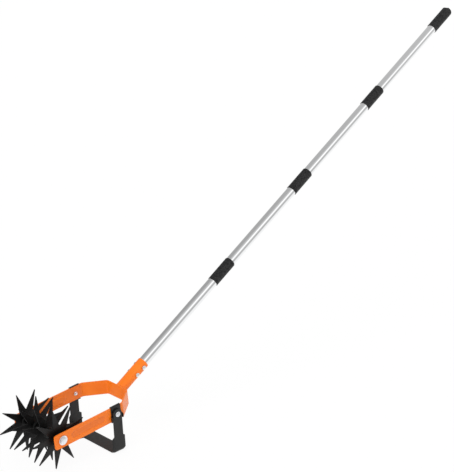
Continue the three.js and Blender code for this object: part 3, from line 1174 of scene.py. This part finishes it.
@dataclass
class PoleSocket:
    """The tube welded to the back of the yoke, and its two cross bolts."""

    bore: float = 12.8
    radius: float = 13.8
    length: float = 92.0
    mouth_round: float = 0.35
    mouth_inner: float = 0.6
    bolt_places: tuple[float, float] = (56.4, 79.6)
    bolt_radius: float = 2.5
    bolt_hole: float = 2.8
    thread: Thread = Thread(depth=0.25, pitch=0.8, lead=0.3, runout=0.2, tip=0.5)
    head_radius: float = 5.2
    head_height: float = 3.0
    head_rim: float = 0.5
    key_across: float = 3.0
    key_depth: float = 1.5
    seat: float = 0.3
    nut_across: float = 8.6
    nut_height: float = 3.6
    end_proud: float = 1.2
    bead_radius: float = 1.7
    bead_lift: float = 0.2
    bead_sides: int = 16
    bead_facets: int = 136
    bead_beats: int = 34
    bead_ripple: float = 0.14
    bead_waver: tuple[float, float] = (0.9, 1.1)
    bead_seed: int = 7

    def tube(self, shop: Workshop) -> BMesh:
        """The socket's tube, cut to lie flat on the yoke's back face.

        Args:
            shop: The workshop, for its frames.

        Returns:
            The tube.
        """
        start, end, lip = -self.length / 2.0, self.length, self.mouth_round
        inner = lip * self.mouth_inner
        tube = lathe(
            [
                (start, self.bore), (start, self.radius),
                *broken_edge(end, self.radius, lip, -1.0)[::-1],
                (end, self.bore + inner), (end - inner, self.bore),
            ],
            steps=72,
            ring=True,
        )
        facing = (shop.pole().inverted() @ shop.head()).to_3x3() @ Vector((1.0, 0.0, 0.0))
        cut = bmesh.ops.bisect_plane(
            tube,
            geom=[*tube.verts, *tube.edges, *tube.faces],
            dist=MERGE,
            plane_co=(0.0, 0.0, 0.0),
            plane_no=facing,
            clear_inner=True,
        )
        rims = [item for item in cut["geom_cut"] if isinstance(item, BMEdge)]
        bmesh.ops.bridge_loops(tube, edges=rims)
        bmesh.ops.recalc_face_normals(tube, faces=tube.faces[:])
        return cross_drilled(tube, self.bolt_places, self.bolt_hole)

    def bead(self, shop: Workshop) -> BMesh:
        """The weld round the foot of the tube, laid in short overlapping beats.

        Args:
            shop: The workshop, for its pole's lean.

        Returns:
            The bead, in the yoke's frame.
        """
        last = self.bead_sides - 1
        side = arc((0.0, self.radius), self.bead_radius, 0.0, 360.0 * last / self.bead_sides, last)
        ring = lathe(side, self.bead_facets, ring=True)
        chance = random.Random(self.bead_seed)
        waver = [chance.uniform(*self.bead_waver) for _ in range(self.bead_beats)]
        for vert in ring.verts:
            turn = math.atan2(vert.co.z, vert.co.y) % FULL_TURN
            beat = turn / FULL_TURN * self.bead_beats
            dip = self.bead_ripple * (1.0 - abs(math.sin(beat * math.pi)))
            size = waver[int(beat) % self.bead_beats] * (1.0 - dip)
            out = Vector((0.0, math.cos(turn), math.sin(turn))) * self.radius
            vert.co = out + (vert.co - out) * size
        stretch = 1.0 / math.cos(math.radians(shop.pole_lift))
        foot = shift(shop.back_reach + self.bead_lift)
        return moved(ring, foot @ Matrix.Diagonal((1.0, 1.0, stretch, 1.0)))

    def bolt(self) -> BMesh:
        """A button-headed bolt along X, its head at the far end."""
        under, head = self.radius + self.seat, self.head_radius
        end = -(self.radius + self.seat * 2.0 + self.nut_height + self.end_proud)
        rim, top = under + self.head_rim, under + self.head_height
        bolt = lathe(
            [
                *self.thread.shank(self.bolt_radius, end, -self.radius, under),
                (under, head), (rim, head), *shoulder(rim, top - rim, head, head, 10)[:-1],
                (top, 0.0),
            ],
            steps=40,
        )
        return key_recess(bolt, top, self.key_across, self.key_depth)

    def nut(self) -> BMesh:
        """A plain nut along X."""
        nut = hexagon(self.nut_across, 0.0, self.nut_height)
        hole = rod(self.bolt_hole, -CLEAR, self.nut_height + CLEAR, 24)
        return combine(nut, hole, Cut.REMOVE)

    def build(self, shop: Workshop) -> None:
        """Delivers the socket, its weld, bolts and nuts."""
        pole = shop.pole()
        shop.deliver(self.tube(shop), "socket_tube", YOKE_PAINT, pole, "pole_socket")
        shop.deliver(self.bead(shop), "socket_weld", YOKE_PAINT, shop.head())
        seat = Matrix.Translation((0.0, self.radius + self.seat, 0.0)) @ ACROSS
        for number, place in enumerate(self.bolt_places, 1):
            spot = pole @ shift(place)
            for shape, name, turn, node in (
                (self.bolt(), "socket_button_bolt", ACROSS.inverted(), "socket_bolt"),
                (self.nut(), "socket_hex_nut", seat, "socket_nut"),
            ):
                shop.deliver(
                    shape, f"{name}_{number}", BRIGHT_ZINC, spot @ turn, f"{node}_{number}"
                )


# ---------------------------------------------------------------- axle


@dataclass
class StarAxle:
    """The axle bolt with its washers, nut and spacers, and the four star wheels on it."""

    radius: float = 5.0
    arm_outer: float = 75.5
    arm_inner: float = 72.5
    seat: float = 0.3
    washer_radius: float = 11.0
    washer_thickness: float = 1.5
    washer_break: float = 0.25
    thread: Thread = Thread(depth=0.45, pitch=1.5, lead=0.8, runout=0.5, tip=1.0)
    head_radius: float = 8.5
    head_height: float = 3.4
    head_lip: float = 0.2
    head_rim: float = 0.9
    head_rise: float = 1.7
    head_fall: float = 2.2
    head_crown: tuple[tuple[float, float], ...] = ((0.45, 3.2), (0.15, 5.4))
    nut_across: float = 17.0
    nut_height: float = 6.5
    end_proud: float = 1.5
    spacer_radius: float = 8.0
    spacer_break: float = 0.4
    end_spacer: float = 7.5
    hub_length: float = 10.0
    hub_radius: float = 11.0
    hub_break: float = 0.5
    weld: float = 2.2
    weld_sink: float = 0.4
    weld_turns: tuple[float, ...] = (0.5, 1.0, 1.4)
    spike_count: int = 9
    spike_radius: float = 72.8
    valley_radius: float = 27.0
    tip_width: float = 1.2
    thickness: float = 2.5
    edge_round: float = 0.28
    phases: tuple[float, ...] = (15.8, 31.4, 3.5, 22.8)

    def bolt(self) -> BMesh:
        """The axle bolt along X, its broad low head at the far end."""
        under = self.arm_outer + self.seat * 2.0 + self.washer_thickness
        end = -(under + self.nut_height + self.seat + self.end_proud)
        side, top, rim = under + self.head_rim, under + self.head_height, self.head_radius
        return lathe(
            [
                *self.thread.shank(self.radius, end, -self.arm_outer, under),
                (under, rim - self.head_lip), (under + self.head_lip, rim), (side, rim),
                *shoulder(side, self.head_rise, rim, self.head_fall, 8),
                *[(top - down, rim - inward) for down, inward in self.head_crown], (top, 0.0),
            ],
            steps=64,
        )

    def nut(self) -> BMesh:
        """The axle nut along X."""
        nut = hexagon(self.nut_across, 0.0, self.nut_height)
        hole = rod(self.radius + self.seat, -CLEAR, self.nut_height + CLEAR, 36)
        return combine(nut, hole, Cut.REMOVE)

    def star(self) -> BMesh:
        """A star wheel about Y: nine long spikes and a hub, welded round."""
        outline: Profile = []
        for i in range(self.spike_count):
            turn = FULL_TURN * i / self.spike_count
            out = Vector((math.cos(turn), math.sin(turn)))
            side = Vector((-out.y, out.x)) * self.tip_width / 2.0
            tip = out * self.spike_radius
            valley = turn + math.pi / self.spike_count
            outline += [tuple(tip - side), tuple(tip + side)]
            outline.append(
                (self.valley_radius * math.cos(valley), self.valley_radius * math.sin(valley))
            )
        half, low = self.hub_length / 2.0, self.thickness / 2.0
        plate = slab(outline, -low, low)
        soften(plate, self.edge_round)
        rim, fillet = self.hub_radius, self.weld
        side = [
            (half, 0.0), (half, rim - self.hub_break), (half - self.hub_break, rim),
            (low + fillet, rim),
            *[(low + fillet * (1.0 - math.sin(turn)), rim + fillet * (1.0 - math.cos(turn)))
              for turn in self.weld_turns],
            (low - self.weld_sink, rim + fillet),
        ]
        hub = lathe([(-along, radius) for along, radius in side] + side[::-1], 64)
        star = combine(plate, moved(hub, ACROSS), Cut.JOIN)
        return combine(star, drill(self.radius + self.seat, half + 2.0 * CLEAR, 48), Cut.REMOVE)

    def build(self, shop: Workshop) -> None:
        """Delivers the axle and all that is on it."""
        head, back = shop.head(), ACROSS.inverted()
        # the stars and spacer sleeves take a painted shade that darkens them towards the axle
        paint = replace(STAR_PAINT, centre=tuple(shop.axle * MM))
        bore, start = self.radius + self.seat, self.arm_outer + self.seat
        end = start + self.washer_thickness
        seat = Matrix.Translation((0.0, end + self.seat, 0.0)) @ ACROSS
        shop.deliver(self.bolt(), "axle_round_bolt", BRIGHT_ZINC, head @ back, "axle_bolt")
        shop.deliver(self.nut(), "axle_hex_nut", BRIGHT_ZINC, head @ seat, "axle_nut")
        for side, turn in (("left", back), ("right", ACROSS)):
            ring = sleeve(bore, self.washer_radius, start, end, self.washer_break)
            name, node = f"axle_flat_washer_{side}", f"axle_washer_{side}"
            shop.deliver(ring, name, BRIGHT_ZINC, head @ turn, node)
        half = self.hub_length / 2.0
        first = self.end_spacer - self.arm_inner + half
        count = len(self.phases)
        face = -self.arm_inner
        for i in range(count + 1):
            place = first - first * 2.0 / (count - 1) * i
            end = place - half if i < count else self.arm_inner
            ring = sleeve(
                bore, self.spacer_radius, face + self.seat, end - self.seat, self.spacer_break
            )
            name, node = f"axle_sleeve_{i + 1}", f"axle_spacer_{i + 1}"
            shop.deliver(ring, name, paint, head @ ACROSS, node)
            face = place + half
            if i < count:
                turn = Matrix.Rotation(-math.radians(self.phases[i]), 4, "Y")
                spot = head @ Matrix.Translation((0.0, place, 0.0)) @ turn
                name, node = f"spiked_star_{i + 1}", f"star_wheel_{i + 1}"
                shop.deliver(self.star(), name, paint, spot, node, f"star_{i + 1}")


# ---------------------------------------------------------------- stirrup


@dataclass
class Stirrup:
    """The band bent into a U, ground to an edge on both sides of its lower half."""

    leg_width: float = 24.6
    thickness: float = 3.2
    leg_outer: float = 82.4
    drop: float = 95.7
    edge: float = 5.9
    edge_thickness: float = 1.0
    bend_radius: float = 6.0
    shoulder_drop: float = 55.0
    shoulder_height: float = 4.0
    hole: float = 3.3
    edge_round: float = 0.35
    bend_facets: int = 10
    drill_reach: float = 100.0

    def path(self) -> BentPath:
        """The band's outer face seen from the front."""
        top, side = self.leg_width / 2.0, self.leg_outer
        return BentPath(
            ((-side, top), (-side, -self.drop), (side, -self.drop), (side, top)),
            self.bend_radius + self.thickness,
        )

    def outline(self, length: float) -> Profile:
        """The flat blank's outline, along the band and across it.

        Args:
            length: The band's developed length.

        Returns:
            Its points.
        """
        half = self.leg_width / 2.0
        wide = half + self.edge
        shoulder = half + self.shoulder_drop
        ramp = shoulder + self.shoulder_height
        side = [*arc((half, 0.0), half, 180.0, 90.0, 12), (shoulder, half), (ramp, wide)]
        top = side + [(length - x, y) for x, y in reversed(side)]
        return top + [(x, -y) for x, y in reversed(top[1:-1])]

    def shape(self) -> BMesh:
        """Cuts the blank, breaks its edges, grinds it and bends it."""
        path = self.path()
        length = path.length()
        blank = slab(self.outline(length), 0.0, self.thickness)
        soften(blank, self.edge_round)
        half = self.leg_width / 2.0
        cuts = [((0.0, 0.0, side), (0.0, 0.0, 1.0)) for side in (-half, half)]
        for bend in [run for run in path.runs() if run.turn]:
            step = (bend.end - bend.begin) / self.bend_facets
            cuts += [
                ((bend.begin + step * i, 0.0, 0.0), (1.0, 0.0, 0.0))
                for i in range(self.bend_facets + 1)
            ]
        for point, normal in cuts:
            bmesh.ops.bisect_plane(
                blank,
                geom=[*blank.verts, *blank.edges, *blank.faces],
                dist=MERGE,
                plane_co=point,
                plane_no=normal,
            )
        ground = self.thickness - self.edge_thickness
        for vert in blank.verts:
            along, depth, across = vert.co
            share = max(0.0, abs(across) - half) / self.edge
            depth = depth + (self.thickness - depth) * share * ground / self.thickness
            point, inward = path.at(along)
            spot = point + inward * depth
            vert.co = (across, spot.x, spot.y)
        bmesh.ops.recalc_face_normals(blank, faces=blank.faces[:])
        return combine(blank, drill(self.hole, self.drill_reach), Cut.REMOVE)

    def build(self, shop: Workshop) -> None:
        """Delivers the stirrup."""
        place = shop.hanger()
        shop.deliver(self.shape(), "stirrup_blade", HOE_PAINT, place, "stirrup_hoe", "stirrup")


@dataclass
class StirrupMount:
    """The clip over each arm with its stop lugs, and the pivot bolt, washer and nut."""

    arm_outer: float = 75.5
    arm_inner: float = 72.5
    strip_height: float = 35.0
    strip_thickness: float = 3.0
    seat: float = 0.3
    width: float = 27.0
    thickness: float = 2.0
    bend_inner: float = 0.6
    lug_top: float = 3.0
    lug_bottom: float = 14.0
    lug_proud: float = 1.0
    lug_corner: float = 1.8
    lug_root: float = 4.0
    lug_overlap: float = 0.05
    swing: float = 5.0
    leg_width: float = 24.6
    leg_outer: float = 82.4
    pivot_reach: float = 149.0
    bolt_radius: float = 3.0
    tip_short: float = 1.8
    tip_break: float = 0.3
    head_radius: float = 6.5
    head_height: float = 3.6
    head_lip: float = 0.15
    head_rim: float = 0.6
    key_across: float = 4.0
    key_depth: float = 1.9
    washer_radius: float = 9.0
    washer_thickness: float = 0.8
    washer_break: float = 0.15
    nut_across: float = 9.6
    nut_height: float = 4.6
    nut_flats: float = 2.4
    cap_radius: float = 4.5
    cap_sink: float = 1.0
    cap_wall: float = 1.4
    cap_turns: tuple[float, ...] = (1.35, 1.1, 0.85, 0.6, 0.35, 0.1)
    edge_round: float = 0.25

    def channel(self) -> BMesh:
        """The clip's channel on the right arm, with Y out from the arm's face and Z up it."""
        low = self.strip_height / 2.0 + self.seat
        high = low + self.thickness
        reach = -self.seat - self.strip_thickness
        outer, inner = self.bend_inner + self.thickness, self.bend_inner
        round_x = self.thickness - outer
        section = [
            (reach, high), *arc((round_x, high - outer), outer, 90.0, 0.0, 5),
            *arc((round_x, outer - high), outer, 0.0, -90.0, 5), (reach, -high), (reach, -low),
            *arc((-inner, inner - low), inner, -90.0, 0.0, 3),
            *arc((-inner, low - inner), inner, 0.0, 90.0, 3), (reach, low),
        ]
        channel = slab(section, -self.width / 2.0, self.width / 2.0)
        for vert in channel.verts:
            vert.co = (vert.co.y, vert.co.x, vert.co.z)
        bmesh.ops.recalc_face_normals(channel, faces=channel.faces[:])
        return soften(channel, self.edge_round)

    def lug(self, sign: float) -> BMesh:
        """A stop lug, bent out of the channel's side beside the leg.

        Args:
            sign: 1 or -1, for the side of the leg that it stands on.

        Returns:
            The lug, in the channel's frame.
        """
        outer, inner = self.bend_inner + self.thickness, self.bend_inner
        turn = math.radians(self.swing)
        half_leg = self.leg_width / 2.0 + self.seat
        near = (half_leg + self.lug_bottom * math.sin(turn)) / math.cos(turn)
        far = near + self.thickness
        proud = self.leg_outer - self.arm_outer - self.seat + self.lug_proud
        root, skin = self.width / 2.0 - self.lug_root, self.lug_overlap
        plan = [
            (root, skin), *arc((far - outer, outer + skin), outer, -90.0, 0.0, 5),
            (far, proud), (near, proud),
            *arc((near - inner, self.thickness + inner - skin), inner, 0.0, -90.0, 3),
            (root, self.thickness - skin),
        ]
        lug = slab(plan, self.lug_top, self.lug_bottom)
        corners = [
            edge for edge in lug.edges
            if all(abs(vert.co.z - proud) < MERGE for vert in edge.verts)
            and abs(edge.verts[0].co.y - edge.verts[1].co.y) < MERGE
        ]
        soften(lug, self.lug_corner, 5, corners)
        for vert in lug.verts:
            vert.co = (sign * vert.co.x, vert.co.z, -vert.co.y)
        bmesh.ops.recalc_face_normals(lug, faces=lug.faces[:])
        return soften(lug, self.edge_round)

    def clip(self) -> BMesh:
        """The whole clip: its channel, both lugs and the hole for the pivot bolt."""
        whole = self.channel()
        for sign in (1.0, -1.0):
            whole = combine(whole, self.lug(sign), Cut.JOIN)
        hole = rod(self.bolt_radius + self.seat, -CLEAR, self.thickness * 2.0)
        return combine(whole, moved(hole, ACROSS), Cut.REMOVE)

    def bolt(self) -> BMesh:
        """The pivot bolt along X, measured from the tool's middle plane."""
        under, radius, head = self.leg_outer + self.seat, self.bolt_radius, self.head_radius
        rim, top = under + self.head_rim, under + self.head_height
        end = self.arm_inner - self.seat - self.nut_height + self.tip_short
        bolt = lathe(
            [
                (end, 0.0), (end, radius - self.tip_break), (end + self.tip_break, radius),
                (under, radius), (under, head - self.head_lip), (under + self.head_lip, head),
                (rim, head), *shoulder(rim, top - rim, head, head, 12)[:-1], (top, 0.0),
            ],
            steps=56,
        )
        return key_recess(bolt, top, self.key_across, self.key_depth)

    def nut(self) -> BMesh:
        """The low cap nut inside the arm, along X from the tool's middle plane."""
        face = self.arm_inner - self.seat
        roof, flats = face - self.nut_height, face - self.nut_flats
        base, crown = face - self.cap_sink, self.cap_radius
        cap = lathe(
            [
                (roof, 0.0),
                *[(flats - (flats - roof) * math.sin(turn), crown * math.cos(turn))
                  for turn in self.cap_turns],
                (base, crown), (base, 0.0),
            ],
            steps=48,
        )
        nut = combine(hexagon(self.nut_across, flats, face), cap, Cut.JOIN)
        hole = rod(self.bolt_radius + self.seat, roof + self.cap_wall, face + CLEAR, 28)
        return combine(nut, hole, Cut.REMOVE)

    def washer(self) -> BMesh:
        """The washer between clip and leg, along X from the tool's middle plane."""
        start = self.arm_outer + self.seat * 2.0 + self.thickness
        end = start + self.washer_thickness
        return sleeve(
            self.bolt_radius + self.seat, self.washer_radius, start, end, self.washer_break
        )

    def build(self, shop: Workshop) -> None:
        """Delivers both clips and their fasteners."""
        for side, turn in (("left", math.pi), ("right", 0.0)):
            mount = shop.head() @ shift(self.pivot_reach) @ Matrix.Rotation(turn, 4, "Z")
            seat = mount @ Matrix.Translation((0.0, self.arm_outer + self.seat, 0.0))
            name, node = f"stirrup_clip_{side}", f"stirrup_bracket_{side}"
            shop.deliver(self.clip(), name, HOE_PAINT, seat, node)
            for shape, name, node in (
                (self.bolt(), "pivot_button_bolt", "pivot_bolt"),
                (self.nut(), "pivot_cap_nut", "pivot_nut"),
                (self.washer(), "pivot_flat_washer", "pivot_washer"),
            ):
                shop.deliver(
                    shape, f"{name}_{side}", BRIGHT_ZINC, mount @ ACROSS, f"{node}_{side}"
                )


# ---------------------------------------------------------------- pole


@dataclass
class SectionalPole:
    """Four steel tubes, the couplers between them and the hand grip at the top."""

    radius: float = 12.5
    wall: float = 1.0
    seat: float = 0.3
    start: float = 14.0
    coupler_places: tuple[float, ...] = (393.0, 716.5, 1040.0)
    coupler_length: float = 70.0
    coupler_radius: float = 13.6
    coupler_round: float = 1.6
    groove_place: float = 5.0
    groove_depth: float = 0.35
    spigot_length: float = 26.0
    stud_bore: float = 7.8
    spigot_lead: tuple[float, float] = (0.8, 0.6)
    coupler_break: float = 0.5
    groove_mouth: float = 0.6
    groove_floor: float = 0.35
    bore_floor: float = -5.0
    tube_break: float = 0.25
    bolt_places: tuple[float, float] = (56.4, 79.6)
    bolt_hole: float = 2.8
    grip_start: float = 1325.0
    grip_length: float = 82.0
    grip_radius: float = 13.8
    grip_tip: float = 12.0
    grip_round: float = 7.0
    grip_lip: float = 0.5
    grip_turn: float = 20.0
    notch_radius: float = 8.0
    notch_depth: float = 4.0
    facets: int = 96

    def tube(self, start: float, end: float) -> BMesh:
        """A length of tube.

        Args:
            start: Where it starts along the pole.
            end: Where it ends.

        Returns:
            The tube.
        """
        bore, rim, lip = self.radius - self.wall, self.radius, self.tube_break
        return lathe(
            [
                (start, bore), (start, rim - lip), (start + lip, rim),
                (end - lip, rim), (end, rim - lip), (end, bore),
            ],
            steps=self.facets,
            ring=True,
        )

    def coupler(self) -> BMesh:
        """A coupler about its own middle, with a rounded top, a ring groove and its spigot."""
        half, rim, top = self.coupler_length / 2.0, self.coupler_radius, self.coupler_round
        spigot, tip = self.radius - self.wall - self.seat, -half - self.spigot_length
        lead, taper = self.spigot_lead
        groove, deep = self.groove_place - half, rim - self.groove_depth
        mouth, floor = self.groove_mouth, self.groove_floor
        return lathe(
            [
                (tip, 0.0), (tip, spigot - taper), (tip + lead, spigot), (-half, spigot),
                *broken_edge(-half, rim, self.coupler_break, 1.0),
                (groove - mouth, rim), (groove - floor, deep),
                (groove + floor, deep), (groove + mouth, rim),
                *arc((half - top, rim - top), top, 90.0, 0.0, 6), (half, self.stud_bore),
                (self.bore_floor, self.stud_bore), (self.bore_floor, 0.0),
            ],
            steps=self.facets,
        )

    def grip(self) -> BMesh:
        """The hand grip, with a rounded tip and a shallow groove across its upper edge."""
        bore, start, radius = self.radius + self.seat, self.grip_start, self.grip_radius
        end = start + self.grip_length
        rim, floor = end - self.grip_round, end - self.grip_tip
        grip = lathe(
            [
                (floor, 0.0), (floor, bore), (start, bore),
                *broken_edge(start, radius, self.grip_lip, 1.0), (rim, radius),
                *shoulder(rim, self.grip_round, radius, self.grip_round, 12), (end, 0.0),
            ],
            steps=self.facets,
        )
        slant = (self.grip_round + self.notch_radius - self.notch_depth) / math.sqrt(2.0)
        spot = Matrix.Translation((rim + slant, 0.0, radius - self.grip_round + slant))
        notch = moved(drill(self.notch_radius, radius + 2.0 * CLEAR, 48), spot)
        return combine(grip, notch, Cut.REMOVE)

    def build(self, shop: Workshop) -> None:
        """Delivers the pole."""
        pole = shop.pole()
        gap = self.coupler_length / 2.0 + self.seat
        starts = [self.start, *[place + gap for place in self.coupler_places]]
        ends = [place - gap for place in self.coupler_places]
        ends.append(self.grip_start + self.grip_length - self.grip_tip - self.seat)
        for number, (start, end) in enumerate(zip(starts, ends), 1):
            tube = self.tube(start, end)
            if number == 1:
                tube = cross_drilled(tube, self.bolt_places, self.bolt_hole)
            shop.deliver(tube, f"pole_tube_{number}", POLE_STEEL, pole, f"pole_section_{number}")
        for number, place in enumerate(self.coupler_places, 1):
            name, node = f"coupler_sleeve_{number}", f"pole_coupler_{number}"
            shop.deliver(self.coupler(), name, GRIP_PLASTIC, pole @ shift(place), node)
            shop.dress(f"coupler_plug_{number}", GRIP_PLASTIC)
        turned = pole @ Matrix.Rotation(-math.radians(self.grip_turn), 4, "X")
        shop.deliver(self.grip(), "pole_hand_grip", GRIP_PLASTIC, turned, "hand_grip")


# ---------------------------------------------------------------- studio


@dataclass
class Studio:
    """A plain white floor, plain soft light and the camera."""

    camera_place: tuple[float, float, float] = (-2.2218, -2.2143, 1.4001)
    camera_turn: float = 43.78
    camera_drop: float = 18.01
    lens: float = 101.56
    sensor: float = 36.0
    clip: tuple[float, float] = (0.05, 200.0)
    floor_size: float = 80.0
    floor_glow: float = 0.9
    ambient: float = 0.67
    key_strength: float = 1.8
    key_from: tuple[float, float, float] = (-0.9, -0.25, 0.68)
    key_angle: float = 45.0
    fill_strength: float = 0.3
    fill_from: tuple[float, float, float] = (0.2, -0.8, 0.3)
    fill_angle: float = 60.0
    pole_axis: tuple[float, float, float] = (0.8415, 0.0, 0.5402)
    strip_front: tuple[float, float, float] = (-0.3606, -0.7451, 0.5618)
    strip_side: tuple[float, float, float] = (0.4025, -0.6676, -0.627)
    strip_span: tuple[float, float] = (0.28, 0.59)
    strip_slew: float = 24.0
    strip_floor: float = 0.36
    strip_rise: float = 0.26
    strips: tuple[tuple[float, float], ...] = (
        (-180.0, 0.9), (-135.0, 0.36), (-80.0, 0.4), (-50.0, 0.52), (-22.0, 0.76), (-10.0, 1.3),
        (4.0, 1.3), (18.0, 0.7), (46.0, 0.44), (60.0, 0.9), (80.0, 1.08), (180.0, 1.1),
    )

    def strip_lights(self, nodes: Nodes) -> Output:
        """The light that gloss shows: long strips and grey flags hung parallel to the pole.

        Args:
            nodes: The world's nodes.

        Returns:
            The strength in each direction.
        """
        way = nodes.add("TexCoord").outputs["Generated"]
        along, front, side = [
            nodes.vectors("DOT_PRODUCT", "Value", way, direction)
            for direction in (self.pole_axis, self.strip_front, self.strip_side)
        ]
        rise = nodes.ranged(along, self.strip_span)
        turn = nodes.maths("DIVIDE", nodes.maths("ARCTAN2", side, front), FULL_TURN)
        slew = nodes.maths("MULTIPLY", rise, self.strip_slew / 360.0)
        place = nodes.maths("ADD", nodes.maths("SUBTRACT", turn, slew), 0.5)
        ramp = nodes.add("ValToRGB", {"Fac": nodes.maths("FRACT", place)})
        stops = ramp.color_ramp.elements
        while len(stops) < len(self.strips):
            stops.new(0.5)
        for stop, (angle, level) in zip(stops, self.strips):
            stop.position = angle / 360.0 + 0.5
            stop.color = (level, level, level, 1.0)
        least = nodes.maths("MULTIPLY", rise, self.strip_rise)
        least = nodes.maths("ADD", least, self.strip_floor)
        return nodes.maths("MAXIMUM", ramp.outputs["Color"], least)

    def floor(self) -> None:
        """Lays the floor, white to the eye and still catching the tool's shadow."""
        material = bpy.data.materials.new("floor_white")
        nodes = Nodes(material)
        matt = nodes.add("BsdfDiffuse", {"Color": WHITE}).outputs["BSDF"]
        glow = nodes.add("Emission", {"Color": WHITE, "Strength": 1.0}).outputs["Emission"]
        share = nodes.maths("MULTIPLY", nodes.seen(), self.floor_glow)
        nodes.add("OutputMaterial", {"Surface": nodes.mixed(share, matt, glow)})
        plane = bmesh.new()
        bmesh.ops.create_grid(plane, x_segments=1, y_segments=1, size=self.floor_size / 2.0)
        mesh = as_mesh(plane, "floor")
        mesh.materials.append(material)
        floor = put("floor", mesh)
        floor.visible_glossy = False

    def world(self) -> None:
        """Fills the world with an even light, white to the eye, and the strips for gloss."""
        world = bpy.data.worlds.new("studio")
        bpy.context.scene.world = world
        nodes = Nodes(world)
        soft, white, strips = [
            nodes.add("Background", {"Color": WHITE, "Strength": strength}).outputs["Background"]
            for strength in (self.ambient, 1.0, self.strip_lights(nodes))
        ]
        plain = nodes.mixed(nodes.seen(), soft, white)
        glossy = nodes.add("LightPath").outputs["Is Glossy Ray"]
        nodes.add("OutputWorld", {"Surface": nodes.mixed(glossy, plain, strips)})

    def lamp(self, name: str, strength: float, source: Sequence[float], angle: float) -> None:
        """Hangs a broad soft lamp far away.

        Args:
            name: Its name.
            strength: Its strength.
            source: The direction that it shines from.
            angle: How broad it looks, in degrees.
        """
        data = bpy.data.lights.new(name, "SUN")
        data.energy = strength
        data.angle = math.radians(angle)
        lamp = put(name, data)
        lamp.rotation_euler = Vector(source).to_track_quat("Z", "Y").to_euler()
        lamp.visible_glossy = False

    def camera(self) -> None:
        """Sets the camera at the photograph's angle."""
        data = bpy.data.cameras.new("camera")
        data.lens, data.sensor_width = self.lens, self.sensor
        data.clip_start, data.clip_end = self.clip
        camera = put("camera", data)
        camera.location = self.camera_place
        camera.rotation_euler = (
            math.radians(90.0 - self.camera_drop), 0.0, -math.radians(self.camera_turn)
        )
        bpy.context.scene.camera = camera

    def build(self) -> None:
        """Sets up the whole studio."""
        self.camera()
        self.floor()
        self.world()
        self.lamp("key", self.key_strength, self.key_from, self.key_angle)
        self.lamp("fill", self.fill_strength, self.fill_from, self.fill_angle)
        bpy.context.scene.view_settings.view_transform = "Standard"
        LOG.info("studio set")


def joint_place(name: str) -> Vector:
    """Where a joint is.

    Args:
        name: The joint's name.

    Returns:
        Its place in millimetres.
    """
    joint = next(item for item in frame["joints"] if item["name"] == name)
    return Vector(joint["pos_m"]) / MM


def main() -> None:
    """Builds the studio and every sub-assembly."""
    logging.basicConfig(level=logging.INFO, format="%(name)s: %(message)s")
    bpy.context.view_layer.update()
    Studio().build()
    shop = Workshop(joint_place("star_wheel_1_spin"), joint_place("stirrup_swing"))
    for assembly in (Yoke(), PoleSocket(), StarAxle(), Stirrup(), StirrupMount(), SectionalPole()):
        assembly.build(shop)
    bpy.context.view_layer.update()


if __name__ == "__main__":
    main()
